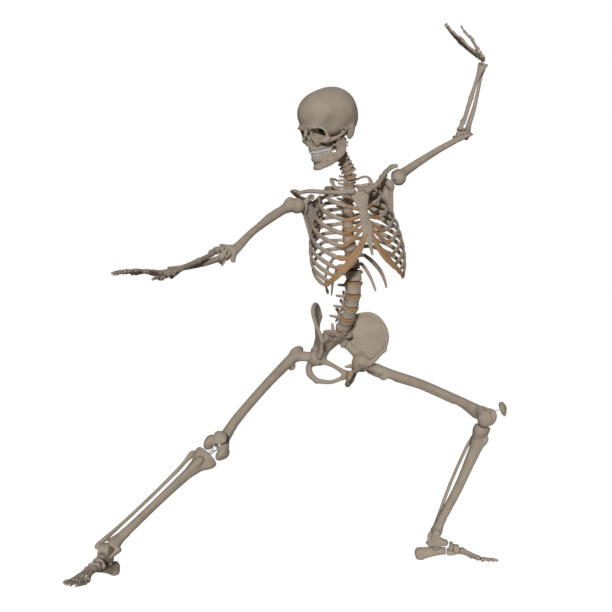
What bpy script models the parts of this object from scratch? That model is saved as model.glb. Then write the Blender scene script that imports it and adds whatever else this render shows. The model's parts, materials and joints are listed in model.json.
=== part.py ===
"""Human skeleton model, life size, standing in a wide lunge on its own two feet.

Bone shapes are written in millimetres in the frame of the body that carries them:
X to the skeleton's left, Y to its back, Z up. SIDE is +1 for left and -1 for right.
Bodies hang on empties that sit on their joint, so a pose is a chain of turns.
"""
import math

import bmesh
import bpy
from mathutils import Matrix, Vector

MM = 0.001
LEFT, RIGHT = 1, -1
WORD = {LEFT: "left", RIGHT: "right"}

# ---- driving sizes, in millimetres ----
GAP = 0.4                  # clearance between pieces that mate
BALL_GAP = 0.7             # clearance round a ball joint
DETAIL = 0.6               # share of the triangle budgets below
FEMUR_LENGTH = 415         # hip centre to knee axis
TIBIA_LENGTH = 390         # knee axis to ankle axis
ANKLE_HEIGHT = 68
FOOT_BACK = 54             # ankle axis to the back of the heel
FOOT_FRONT = 188           # ankle axis to the tip of the big toe
HIP_SPACING = 175
FEMUR_HEAD = 24            # radius
KNEE_RADIUS = 21           # condyle radius
KNEE_GAP = 7               # bare gap between condyles and plateau
PLATEAU_WIDTH = 75
TALUS_DOME = 19            # radius
SUBTALAR_RADIUS = 30       # underside of the talus about the foot's long axis
HUMERUS_LENGTH = 310
HUMERUS_HEAD = 23
FOREARM_LENGTH = 250       # elbow axis to wrist centre
ELBOW_RADIUS = 11
WRIST_RADIUS = 17
KNUCKLE_RADIUS = 6.0
PALM_LENGTH = 93           # wrist centre to middle knuckle
PELVIS_WIDTH = 270
LUMBAR_HEIGHT = 180
THORAX_HEIGHT = 272
CHEST_WIDTH = 280
RIB_THICKNESS = 7
RIB_HEIGHT = 13
NECK_HEIGHT = 105          # C7/T1 to the atlas pivot
ATLAS_HEIGHT = 23
SKULL_LENGTH = 172
SKULL_WIDTH = 139
SKULL_CROWN = 146          # condyles to crown
SKULL_WALL = 5
JAW_CONDYLE = 5
STUD_RADIUS = 3
PIN_RADIUS = 4
DISC_RADIUS = 20

# ---- pose, in degrees; this is the rest pose of every joint ----
PELVIS_YAW, PELVIS_LEAN, PELVIS_TILT = 35.3, 21.8, 3.4
LUMBAR_TURN = (8.5, -11.1, -2.8)
THORAX_TURN = (-19.0, -6.0, -11.5)
NECK_TURN = (16.1, -23.3, -26.0)
ATLAS_TURN = -40.0
HEAD_TURN = (-16.0, -2.0, 0.0)
HIP_FLEX = {LEFT: 87.0, RIGHT: 16.3}
HIP_SPREAD = {LEFT: 28.2, RIGHT: 47.7}
HIP_TWIST = {LEFT: 2.4, RIGHT: -39.7}
KNEE_FLEX = {LEFT: 94.3, RIGHT: 4.3}
FOOT_YAW = {LEFT: 80.0, RIGHT: -19.0}
# azimuth from -Y towards +X, and elevation
UPPER_ARM_AIM = {LEFT: (122.5, 35.3), RIGHT: (-47.3, -33.6)}
FOREARM_AIM = {LEFT: (79.7, 72.5), RIGHT: (-31.6, -22.1)}
HAND_AIM = {LEFT: (-109.8, 45.8), RIGHT: (-35.3, -5.3)}
SHOULDER_PLACE = {LEFT: (155, -5, 258), RIGHT: (-165, -15, 200)}

BONE = (0.42, 0.36, 0.29)
CARTILAGE = (0.38, 0.22, 0.11)
ENAMEL = (0.62, 0.63, 0.60)
STEEL = (0.55, 0.56, 0.58)


# ---------------------------------------------------------------- shapes
def loop_frame(path, index, reference):
    ahead = path[min(index + 1, len(path) - 1)]
    behind = path[max(index - 1, 0)]
    along = (ahead - behind).normalized()
    side = along.cross(reference)
    if side.length < 1e-4:
        side = along.orthogonal()
    side.normalize()
    return along, side, side.cross(along).normalized()


def tube(bm, path, radii, reference=(0, 0, 1), sides=10, cap=0.8):
    """Closed tube along path. A radius is one number, or (across, along reference)."""
    path = [Vector(p) for p in path]
    radii = [r if isinstance(r, (tuple, list)) else (r, r) for r in radii]
    reference = Vector(reference)
    rings = []

    def ring(centre, side, up, ra, rb):
        angles = [2 * math.pi * i / sides for i in range(sides)]
        rings.append([bm.verts.new(centre + side * (ra * math.cos(a)) + up * (rb * math.sin(a)))
                      for a in angles])

    for i, centre in enumerate(path):
        along, side, up = loop_frame(path, i, reference)
        ra, rb = radii[i]
        if i == 0:
            ring(centre - along * (min(ra, rb) * cap), side, up, ra * 0.45, rb * 0.45)
        ring(centre, side, up, ra, rb)
        if i == len(path) - 1:
            ring(centre + along * (min(ra, rb) * cap), side, up, ra * 0.45, rb * 0.45)
    for lower, upper in zip(rings, rings[1:]):
        for i in range(sides):
            j = (i + 1) % sides
            bm.faces.new((lower[i], lower[j], upper[j], upper[i]))
    bm.faces.new(list(reversed(rings[0])))
    bm.faces.new(rings[-1])


def blob(bm, centre, radii, turn=None, segments=12, rings=8):
    """Ellipsoid."""
    if not isinstance(radii, (tuple, list)):
        radii = (radii,) * 3
    place = Matrix.Translation(centre) @ (turn or Matrix()) @ Matrix.Diagonal((*radii, 1))
    bmesh.ops.create_uvsphere(bm, u_segments=segments, v_segments=rings, radius=1, matrix=place)


def rod(bm, start, end, radius, sides=20, end_radius=None):
    """Plain cylinder or cone between two points."""
    start, end = Vector(start), Vector(end)
    axis = end - start
    turn = axis.to_track_quat("Z", "Y").to_matrix().to_4x4()
    place = Matrix.Translation((start + end) / 2) @ turn
    bmesh.ops.create_cone(bm, cap_ends=True, segments=sides, radius1=radius,
                          radius2=radius if end_radius is None else end_radius,
                          depth=axis.length, matrix=place)


def block(bm, low, high):
    low, high = Vector(low), Vector(high)
    size = high - low
    place = Matrix.Translation((low + high) / 2) @ Matrix.Diagonal((*size, 1))
    bmesh.ops.create_cube(bm, size=1, matrix=place)


def prism(bm, outline, low, high, place=None):
    """Outline of (y, z) points carried along X, or along any X axis given by place."""
    place = place or Matrix()
    ends = [[bm.verts.new(place @ Vector((x, y, z))) for y, z in outline] for x in (low, high)]
    bm.faces.new(ends[0])
    bm.faces.new(list(reversed(ends[1])))
    for i in range(len(outline)):
        j = (i + 1) % len(outline)
        bm.faces.new((ends[0][j], ends[0][i], ends[1][i], ends[1][j]))


def plate(bm, rows, thickness):
    """Thick curved sheet through a grid of points."""
    rows = [[Vector(p) for p in row] for row in rows]
    m, n = len(rows), len(rows[0])
    half = thickness / 2

    def normal(i, j):
        a = rows[min(i + 1, m - 1)][j] - rows[max(i - 1, 0)][j]
        b = rows[i][min(j + 1, n - 1)] - rows[i][max(j - 1, 0)]
        return a.cross(b).normalized()

    top = [[bm.verts.new(rows[i][j] + normal(i, j) * half) for j in range(n)] for i in range(m)]
    low = [[bm.verts.new(rows[i][j] - normal(i, j) * half) for j in range(n)] for i in range(m)]
    for i in range(m - 1):
        for j in range(n - 1):
            bm.faces.new((top[i][j], top[i + 1][j], top[i + 1][j + 1], top[i][j + 1]))
            bm.faces.new((low[i][j], low[i][j + 1], low[i + 1][j + 1], low[i + 1][j]))
    for i in range(m - 1):
        bm.faces.new((top[i][0], low[i][0], low[i + 1][0], top[i + 1][0]))
        bm.faces.new((top[i + 1][n - 1], low[i + 1][n - 1], low[i][n - 1], top[i][n - 1]))
    for j in range(n - 1):
        bm.faces.new((top[0][j + 1], low[0][j + 1], low[0][j], top[0][j]))
        bm.faces.new((top[m - 1][j], low[m - 1][j], low[m - 1][j + 1], top[m - 1][j + 1]))


def fan(bm, centre, axis, middle, spread, radius, width, steps=8):
    """Wedge-shaped slot: a sector about axis, centred on the direction middle."""
    centre, axis, middle = Vector(centre), Vector(axis).normalized(), Vector(middle)
    middle = (middle - axis * middle.dot(axis)).normalized()
    rims = []
    for offset in (-width / 2, width / 2):
        rim = [bm.verts.new(centre + axis * offset - middle * (width * 0.5))]
        for i in range(steps + 1):
            angle = math.radians(spread * (2 * i / steps - 1))
            rim.append(bm.verts.new(centre + axis * offset
                                    + Matrix.Rotation(angle, 3, axis) @ middle * radius))
        rims.append(rim)
    bm.faces.new(list(reversed(rims[0])))
    bm.faces.new(rims[1])
    count = len(rims[0])
    for i in range(count):
        j = (i + 1) % count
        bm.faces.new((rims[0][i], rims[0][j], rims[1][j], rims[1][i]))


# ---------------------------------------------------------------- objects
def material(name, colour, roughness, metallic=0.0):
    mat = bpy.data.materials.new(name)
    mat.use_nodes = True
    shader = mat.node_tree.nodes["Principled BSDF"]
    shader.inputs["Base Color"].default_value = (*colour, 1)
    shader.inputs["Roughness"].default_value = roughness
    shader.inputs["Metallic"].default_value = metallic
    return mat


def new_object(name, build):
    """Mesh object from a function that adds closed shells, in millimetres, to a bmesh."""
    bm = bmesh.new()
    build(bm)
    bmesh.ops.recalc_face_normals(bm, faces=bm.faces)
    bmesh.ops.scale(bm, vec=(MM, MM, MM), verts=bm.verts)
    mesh = bpy.data.meshes.new(name)
    bm.to_mesh(mesh)
    bm.free()
    obj = bpy.data.objects.new(name, mesh)
    bpy.context.scene.collection.objects.link(obj)
    return obj


def apply_modifiers(obj):
    graph = bpy.context.evaluated_depsgraph_get()
    mesh = bpy.data.meshes.new_from_object(obj.evaluated_get(graph))
    obj.modifiers.clear()
    obj.data = mesh


def fuse(obj, voxel, smooth, triangles):
    """Melt overlapping shells into one skin and thin it out."""
    remesh = obj.modifiers.new("skin", "REMESH")
    remesh.mode = "VOXEL"
    remesh.voxel_size = voxel * MM
    relax = obj.modifiers.new("relax", "SMOOTH")
    relax.iterations = smooth
    relax.factor = 0.5
    apply_modifiers(obj)
    obj.data.calc_loop_triangles()
    thin = obj.modifiers.new("thin", "DECIMATE")
    thin.ratio = min(1.0, DETAIL * triangles / len(obj.data.loop_triangles))
    apply_modifiers(obj)


def islands(bm):
    """Groups of joined vertices, smallest first."""
    left, groups = set(bm.verts), []
    while left:
        seed = left.pop()
        group, stack = {seed}, [seed]
        while stack:
            for edge in stack.pop().link_edges:
                for vert in edge.verts:
                    if vert in left:
                        left.discard(vert)
                        group.add(vert)
                        stack.append(vert)
        groups.append(group)
    return sorted(groups, key=len)


def split_shells(tool):
    """The tool's closed shells as objects of their own."""
    bm = bmesh.new()
    bm.from_mesh(tool.data)
    count = len(islands(bm))
    if count == 1:
        bm.free()
        return [tool]
    bm.verts.ensure_lookup_table()
    order = {vert.index: n for n, group in enumerate(islands(bm)) for vert in group}
    shells = []
    for n in range(count):
        part = bm.copy()
        part.verts.ensure_lookup_table()
        gone = [vert for vert in part.verts if order[vert.index] != n]
        bmesh.ops.delete(part, geom=gone, context="VERTS")
        mesh = bpy.data.meshes.new("shell")
        part.to_mesh(mesh)
        part.free()
        shell = bpy.data.objects.new("shell", mesh)
        bpy.context.scene.collection.objects.link(shell)
        shells.append(shell)
    bm.free()
    bpy.data.objects.remove(tool)
    return shells


def combine(obj, build, operation):
    """Boolean with a builder, or with (builder, fused) where its shells are melted first."""
    build, fused = build if isinstance(build, tuple) else (build, None)
    tool = new_object("tool", build)
    if fused:
        fuse(tool, *fused)
    for shell in split_shells(tool):
        change = obj.modifiers.new("join", "BOOLEAN")
        change.operation = operation
        change.solver = "EXACT"
        change.object = shell
        apply_modifiers(obj)
        bpy.data.objects.remove(shell)


def join_shells(obj, name):
    """Exact union of an object's own overlapping shells."""
    first, *others = split_shells(obj)
    for shell in others:
        change = first.modifiers.new("join", "BOOLEAN")
        change.operation = "UNION"
        change.solver = "EXACT"
        change.object = shell
        apply_modifiers(first)
        bpy.data.objects.remove(shell)
    first.name = name
    return first


def tidy(obj):
    """One closed body of triangles with outward faces; loose crumbs are dropped."""
    bm = bmesh.new()
    bm.from_mesh(obj.data)
    bmesh.ops.remove_doubles(bm, verts=bm.verts, dist=1e-6)
    bmesh.ops.triangulate(bm, faces=bm.faces)
    bmesh.ops.dissolve_degenerate(bm, edges=bm.edges, dist=1e-6)
    bmesh.ops.triangulate(bm, faces=bm.faces)
    for group in islands(bm)[:-1]:
        bmesh.ops.delete(bm, geom=list(group), context="VERTS")
    bmesh.ops.recalc_face_normals(bm, faces=bm.faces)
    bm.to_mesh(obj.data)
    bm.free()


def piece(name, body, skin, build, cuts=(), adds=(), rough=(), fused=None):
    """A named node: shells, melted when fused=(voxel, smooth, triangles), then exact work.

    Rough cuts are melted in again; the adds and cuts that other nodes fit come after them.
    """
    obj = new_object(name, build)
    if fused:
        fuse(obj, *fused)
    else:
        obj = join_shells(obj, name)
    for cut in rough:
        combine(obj, cut, "DIFFERENCE")
    if rough:
        tidy(obj)
        fuse(obj, fused[0] * 0.85, 1, fused[2])
    for add in adds:
        combine(obj, add, "UNION")
    for cut in cuts:
        combine(obj, cut, "DIFFERENCE")
    tidy(obj)
    obj.data.materials.clear()
    obj.data.materials.append(skin)
    obj.parent = bodies[body]
    return obj


# ---------------------------------------------------------------- pose
def turned(x=0.0, y=0.0, z=0.0):
    return (Matrix.Rotation(math.radians(x), 4, "X") @ Matrix.Rotation(math.radians(y), 4, "Y")
            @ Matrix.Rotation(math.radians(z), 4, "Z"))


def moved(x, y, z):
    return Matrix.Translation((x, y, z))


def aim(azimuth, elevation):
    a, e = math.radians(azimuth), math.radians(elevation)
    return Vector((math.sin(a) * math.cos(e), -math.cos(a) * math.cos(e), math.sin(e)))


def axes(x, y, z, origin):
    """Frame from its three axes."""
    turn = Matrix((x, y, z)).transposed().to_4x4()
    return Matrix.Translation(origin) @ turn


def leg_frames(pelvis, side, spread):
    thigh = (pelvis @ moved(side * HIP_SPACING / 2, 0, 0) @ turned(x=-HIP_FLEX[side])
             @ turned(y=-side * spread) @ turned(z=HIP_TWIST[side]))
    shin = thigh @ moved(0, 0, -FEMUR_LENGTH) @ turned(x=KNEE_FLEX[side])
    ankle = shin @ Vector((0, 0, -TIBIA_LENGTH))
    foot = Matrix.Translation(ankle) @ turned(z=FOOT_YAW[side])
    relative = (shin.to_3x3().inverted() @ foot.to_3x3()).to_euler("YXZ")
    torsion = math.degrees(relative.z)
    talus = (shin @ moved(0, 0, -TIBIA_LENGTH) @ turned(z=torsion)
             @ Matrix.Rotation(relative.x, 4, "X"))
    return thigh, shin, talus, foot, torsion


def level_spread(pelvis):
    """Spread of the right hip that puts both soles at one height."""
    goal = leg_frames(pelvis, LEFT, HIP_SPREAD[LEFT])[3].translation.z
    low, high = HIP_SPREAD[RIGHT] - 20, HIP_SPREAD[RIGHT] + 20
    for _ in range(30):
        middle = (low + high) / 2
        if leg_frames(pelvis, RIGHT, middle)[3].translation.z < goal:
            low = middle
        else:
            high = middle
    return middle


WRIST_REST = {s: Vector((s * 8, 0, -FOREARM_LENGTH)) for s in (LEFT, RIGHT)}
RADIUS_HEAD = {s: Vector((s * 13, 0, -18)) for s in (LEFT, RIGHT)}
ULNA_HEAD = {s: Vector((-s * 15, 2, -FOREARM_LENGTH + 13)) for s in (LEFT, RIGHT)}


def arm_frames(thorax, side):
    shoulder = thorax @ Vector(SHOULDER_PLACE[side])
    upper, fore, hand = aim(*UPPER_ARM_AIM[side]), aim(*FOREARM_AIM[side]), aim(*HAND_AIM[side])
    hinge = fore.cross(upper).normalized()
    humerus = axes(hinge, (-upper).cross(hinge), -upper, shoulder)
    elbow = humerus @ Vector((0, 0, -HUMERUS_LENGTH))
    back = hand - fore * hand.dot(fore)
    if side == RIGHT:
        back = Vector((0, 0, 1)) - fore * fore.z
    back.normalize()
    ulna = axes(hinge, (-fore).cross(hinge), -fore, elbow)
    twist_axis = (RADIUS_HEAD[side] - ULNA_HEAD[side]).normalized()
    for _ in range(6):
        local = ulna.to_3x3().inverted() @ back
        twist = math.atan2(-local.x, local.y)
        swing = Matrix.Rotation(twist, 3, twist_axis)
        wrist = ULNA_HEAD[side] + swing @ (WRIST_REST[side] - ULNA_HEAD[side])
        fix = (ulna.to_3x3() @ wrist).rotation_difference(fore)
        ulna = Matrix.Translation(elbow) @ (fix.to_matrix() @ ulna.to_3x3()).to_4x4()
    radius = (ulna @ Matrix.Translation(ULNA_HEAD[side]) @ swing.to_4x4()
              @ Matrix.Translation(-ULNA_HEAD[side]))
    wrist = radius @ WRIST_REST[side]
    dorsal = radius.to_3x3() @ Vector((0, 1, 0))
    across = dorsal.cross(-hand).normalized()
    palm = axes(across, (-hand).cross(across), -hand, wrist)
    return humerus, ulna, radius, palm


def solve_pose():
    frames = {}
    pelvis = turned(z=PELVIS_YAW) @ turned(x=PELVIS_LEAN) @ turned(y=PELVIS_TILT)
    lumbar = pelvis @ moved(0, 28, 100) @ turned(*LUMBAR_TURN)
    thorax = lumbar @ moved(0, 5, LUMBAR_HEIGHT) @ turned(*THORAX_TURN)
    neck = thorax @ moved(0, -20, THORAX_HEIGHT) @ turned(*NECK_TURN)
    atlas = neck @ moved(0, -12, NECK_HEIGHT) @ turned(z=ATLAS_TURN)
    head = atlas @ moved(0, 0, ATLAS_HEIGHT) @ turned(*HEAD_TURN)
    frames.update(pelvis=pelvis, lumbar=lumbar, thorax=thorax, neck=neck, atlas=atlas, head=head)
    frames["jaw"] = head @ moved(0, -12, 22)
    spread = {LEFT: HIP_SPREAD[LEFT], RIGHT: level_spread(pelvis)}
    torsion = {}
    for side in (LEFT, RIGHT):
        word = WORD[side]
        thigh, shin, talus, foot, torsion[side] = leg_frames(pelvis, side, spread[side])
        frames[word + "_hip_stud"] = (pelvis @ moved(side * HIP_SPACING / 2, 0, 0)
                                      @ turned(x=-HIP_FLEX[side]))
        frames.update({word + "_thigh": thigh, word + "_shin": shin, word + "_talus": talus,
                       word + "_foot": foot})
        humerus, ulna, radius, palm = arm_frames(thorax, side)
        frames.update({word + "_upper_arm": humerus, word + "_ulna": ulna,
                       word + "_radius": radius, word + "_hand": palm})
    return frames, torsion, spread



def shoulder_stud_frame(scapula, humerus):
    """X along the glenoid's normal, Y square to it and to the humerus."""
    across = scapula.to_3x3().col[0].normalized()
    down = -humerus.to_3x3().col[2]
    raise_axis = down.cross(across).normalized()
    return axes(across, raise_axis, across.cross(raise_axis), humerus.translation)


# ---------------------------------------------------------------- spine
def smooth_path(points, steps=4):
    """Catmull-Rom curve through the points."""
    points = [Vector(p) for p in points]
    padded = [points[0] * 2 - points[1], *points, points[-1] * 2 - points[-2]]
    out = []
    for a, b, c, d in zip(padded, padded[1:], padded[2:], padded[3:]):
        for i in range(steps):
            t = i / steps
            out.append(0.5 * ((2 * b) + (c - a) * t + (2 * a - 5 * b + 4 * c - d) * t * t
                              + (3 * b - a - 3 * c + d) * t ** 3))
    return [*out, points[-1]]


def spine_frame(start, end, t):
    """Frame at t on the curve that leaves start and reaches end along their Z axes."""
    p0, p1 = start.translation, end.translation
    length = (p1 - p0).length
    m0, m1 = start.to_3x3().col[2] * length, end.to_3x3().col[2] * length
    place = (p0 * (2 * t ** 3 - 3 * t ** 2 + 1) + m0 * (t ** 3 - 2 * t ** 2 + t)
             + p1 * (3 * t ** 2 - 2 * t ** 3) + m1 * (t ** 3 - t ** 2))
    turn = start.to_quaternion().slerp(end.to_quaternion(), t)
    return Matrix.Translation(place) @ turn.to_matrix().to_4x4()


def column(bm, frames, radii, sides=12):
    """Closed column with flat ends; each ring lies in its frame's XY plane."""
    rings = []
    for frame, (rx, ry) in zip(frames, radii):
        rings.append([bm.verts.new(frame @ Vector((rx * math.cos(a), ry * math.sin(a), 0)))
                      for a in (2 * math.pi * i / sides for i in range(sides))])
    for lower, upper in zip(rings, rings[1:]):
        for i in range(sides):
            j = (i + 1) % sides
            bm.faces.new((lower[i], lower[j], upper[j], upper[i]))
    bm.faces.new(list(reversed(rings[0])))
    bm.faces.new(rings[-1])


def lumbar_ends():
    base = moved(0, 0, 0) @ turned(x=30)
    top = frames["lumbar"].inverted() @ frames["thorax"]
    return base, top


def lumbar_frame(t):
    return spine_frame(*lumbar_ends(), t)


def arch(bm, place, pedicle, back, spine_tip, wing, thick=4.5):
    """Pedicles, laminae, spinous and transverse processes behind a vertebral body."""
    def at(x, y, z):
        return place @ Vector((x, y, z))
    for k in (LEFT, RIGHT):
        tube(bm, [at(k * pedicle, back * 0.45, 3), at(k * pedicle, back * 0.8, 2)], [thick, thick],
             sides=8)
        tube(bm, [at(k * pedicle, back * 0.8, 1), at(0, back * 1.15, -3)], [(thick, 7), (thick, 8)],
             sides=8)
        tube(bm, [at(k * pedicle, back * 0.8, 2), at(k * wing, back * 0.95, 1)], [thick, thick * 0.7],
             sides=8)
    tube(bm, [at(0, back * 1.05, -3), at(0, *spine_tip)], [(3.2, 8), (2.8, 6)], sides=8)


def make_lumbar():
    edges = [i / 5 for i in range(6)]
    for level in range(5):
        low, high = edges[level], edges[level + 1]
        name = "lumbar_vertebra_%d" % (5 - level)
        ts = [low, low + 0.05, low + 0.07, (low + high) / 2 + 0.03, high - 0.01, high]
        radii = [(23, 17), (24, 18), (24, 17), (21, 15), (24, 17), (23.5, 17)]
        rings = [lumbar_frame(t) for t in ts]
        rings[0] = rings[0] @ moved(0, 0, GAP / 2)
        rings[-1] = rings[-1] @ moved(0, 0, -GAP / 2)
        if level == 0:
            rings[0] = moved(0, 2, -DISC_RADIUS - 4) @ turned(x=20)
        middle = lumbar_frame((low + high) / 2 + 0.03)

        def build(bm, rings=rings, radii=radii):
            column(bm, rings, radii)

        def processes(bm, middle=middle):
            arch(bm, middle, 15, 30, (64, -5), 40)

        cuts = (below_lowest_disc,) if level == 0 else ()
        piece(name, "lumbar", bone, build, adds=((processes, (2.0, 2, 190)),), cuts=cuts)


def below_lowest_disc(bm):
    """Everything below the lowest disc's round underside."""
    inner = [(DISC_RADIUS * math.sin(a), -DISC_RADIUS * math.cos(a))
             for a in (math.radians(-80 + 160 * i / 20) for i in range(21))]
    prism(bm, [(inner[0][0], -90), *inner, (inner[-1][0], -90)], -60, 60)


# ---------------------------------------------------------------- rib cage
THORACIC_STEP = [26, 25, 24.5, 24, 23.5, 22.5, 22, 21.5, 21.5, 21, 20.5, 20]   # T12 up to T1
# per rib: half width, front Y, fall from spine to front end, angle where bone ends
RIBS = [(58, -66, 34, 150), (82, -86, 52, 152), (102, -100, 70, 150), (116, -112, 86, 147),
        (127, -122, 98, 144), (134, -129, 108, 141), (139, -134, 112, 137), (141, -136, 108, 131),
        (140, -134, 100, 124), (136, -128, 88, 116), (126, -112, 62, 92), (104, -96, 34, 62)]


def thoracic_y(z):
    share = z / THORAX_HEIGHT
    return -20 * share + 36 * math.sin(math.pi * share)


def thoracic_level(number):
    """Height of the middle of thoracic vertebra number."""
    scale = THORAX_HEIGHT / sum(THORACIC_STEP)
    below = sum(THORACIC_STEP[:12 - number])
    return scale * (below + THORACIC_STEP[12 - number] / 2)


def rib_path(number, side, steps=9):
    width, front, fall, last = RIBS[number - 1]
    width *= CHEST_WIDTH / 280
    z = thoracic_level(number)
    spine = thoracic_y(z)
    back = spine + 31
    centre, depth = (back + front) / 2, (back - front) / 2
    first = 30
    path = [Vector((side * 9, spine + 5, z)), Vector((side * 24, spine + 18, z + 1))]
    for i in range(steps + 1):
        share = i / steps
        angle = math.radians(first + (last - first) * share)
        path.append(Vector((side * width * math.sin(angle), centre + depth * math.cos(angle),
                            z - fall * share ** 1.15)))
    return path


def rib_shell(bm, number, side, extra=0.0):
    path = rib_path(number, side)
    flat = (RIB_THICKNESS / 2 + extra, RIB_HEIGHT / 2 + extra)
    if number == 1:
        flat = (RIB_HEIGHT / 2 + 1 + extra, RIB_THICKNESS / 2 + extra)
    radii = [(4.0 + extra, 4.5 + extra)] * 2 + [flat] * (len(path) - 2)
    if number == 12:
        radii[-1] = (2.5 + extra, 4 + extra)
    tube(bm, path, radii, sides=8, cap=0.1 if extra == 0 else 0.2)


def build_rib_cage(bm):
    levels = [thoracic_level(n) for n in range(12, 0, -1)]
    places = [moved(0, thoracic_y(0), -3)]
    places += [moved(0, thoracic_y(z), z) for z in levels]
    places.append(moved(0, thoracic_y(THORAX_HEIGHT - 2), THORAX_HEIGHT - 2))
    radii = [(22, 16)] + [(20 - 7 * i / 11, 15 - 4 * i / 11) for i in range(12)] + [(13, 10)]
    column(bm, places, radii)
    for number in range(1, 13):
        z = thoracic_level(number)
        y = thoracic_y(z)
        slope = 10 if number in (1, 11, 12) else 24
        tube(bm, [(0, y + 12, z), (0, y + 24, z - 2), (0, y + 44, z - slope)],
             [(10, 8), (7, 8), (2.6, 4)], sides=8)
        if number < 12:
            above = thoracic_level(number + 1)
            tube(bm, [(0, y + 20, z), (0, thoracic_y(above) + 20, above)], [(9, 5), (9, 5)],
                 reference=(0, 1, 0), sides=8)
        for side in (LEFT, RIGHT):
            rib_shell(bm, number, side)
            tube(bm, [(side * 8, y + 17, z), (side * 27, y + 24, z + 3)], [4.5, 4.0], sides=8)


def under_thorax(bm):
    block(bm, (-60, -60, -40), (60, 60, GAP / 2))


def t1_socket(bm):
    rod(bm, (-40, -20, THORAX_HEIGHT), (40, -20, THORAX_HEIGHT), 12 + GAP, sides=28)


STERNUM_HEIGHT = 140       # notch to the foot of the body
STERNUM = [(225, 23, 5.5), (216, 27, 6), (196, 20, 5.5), (178, 14, 5.5), (150, 15, 5),
           (116, 18, 5), (94, 14, 4.5), (82, 7, 3.5), (54, 4, 2.6)]
CARTILAGE_SEATS = (213, 178, 160, 142, 126, 112, 100)


def sternum_y(z):
    return -85 - (225 - z) * 0.41


def cartilage_path(number, side):
    bony = rib_path(number, side)
    end, before = bony[-1], bony[-2]
    along = (end - before).normalized()
    start = end - along * 4
    if number <= 7:
        seat = CARTILAGE_SEATS[number - 1]
        half = next(w for z, w, _ in STERNUM if z <= seat)
        goal = Vector((side * (half - 4), sternum_y(seat), seat))
    else:
        upper = cartilage_path(number - 1, side)
        goal = upper[3]
    reach = (goal - start).length
    bend = start + along * reach * 0.5
    if number >= 6:
        bend = bend + Vector((0, -2, -4))
    return [start] + [(start * (1 - t) ** 2 + bend * 2 * t * (1 - t) + goal * t * t)
                      for t in (0.17, 0.35, 0.52, 0.7, 0.85, 1.0)]


def build_sternum(bm):
    tube(bm, [(0, sternum_y(z), z) for z, _, _ in STERNUM], [(w, t) for _, w, t in STERNUM],
         reference=(0, 1, 0), sides=12)
    for side in (LEFT, RIGHT):
        for number in range(1, 11):
            path = cartilage_path(number, side)
            thick = 3.6 if number <= 7 else 3.3
            tube(bm, path, [(thick, 6.2 if number <= 7 else 4.6)] * len(path), sides=8)


def rib_clearance(bm):
    for side in (LEFT, RIGHT):
        for number in range(1, 11):
            rib_shell(bm, number, side, extra=GAP + 0.3)


def clavicle_ends(side):
    shoulder = Vector(SHOULDER_PLACE[side])
    return Vector((side * 23, -90, 230)), shoulder + Vector((-side * 8, -2, 36))


def clavicle_sockets(bm):
    for side in (LEFT, RIGHT):
        blob(bm, clavicle_ends(side)[0], 9.7 + GAP, segments=16, rings=10)


def make_thorax():
    piece("rib_cage", "thorax", bone, build_rib_cage, cuts=(under_thorax, t1_socket),
          fused=(2.3, 1, 3600))
    piece("sternum_and_costal_cartilage", "thorax", cartilage, build_sternum,
          rough=(rib_clearance,), cuts=(clavicle_sockets,), fused=(1.9, 2, 900))
    for side in (LEFT, RIGHT):
        make_shoulder_girdle(side)


def scapula_frame(side):
    rise = {LEFT: 32, RIGHT: 12}[side]
    return (moved(*SHOULDER_PLACE[side]) @ turned(z=-side * 35) @ turned(y=-side * rise))


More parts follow.
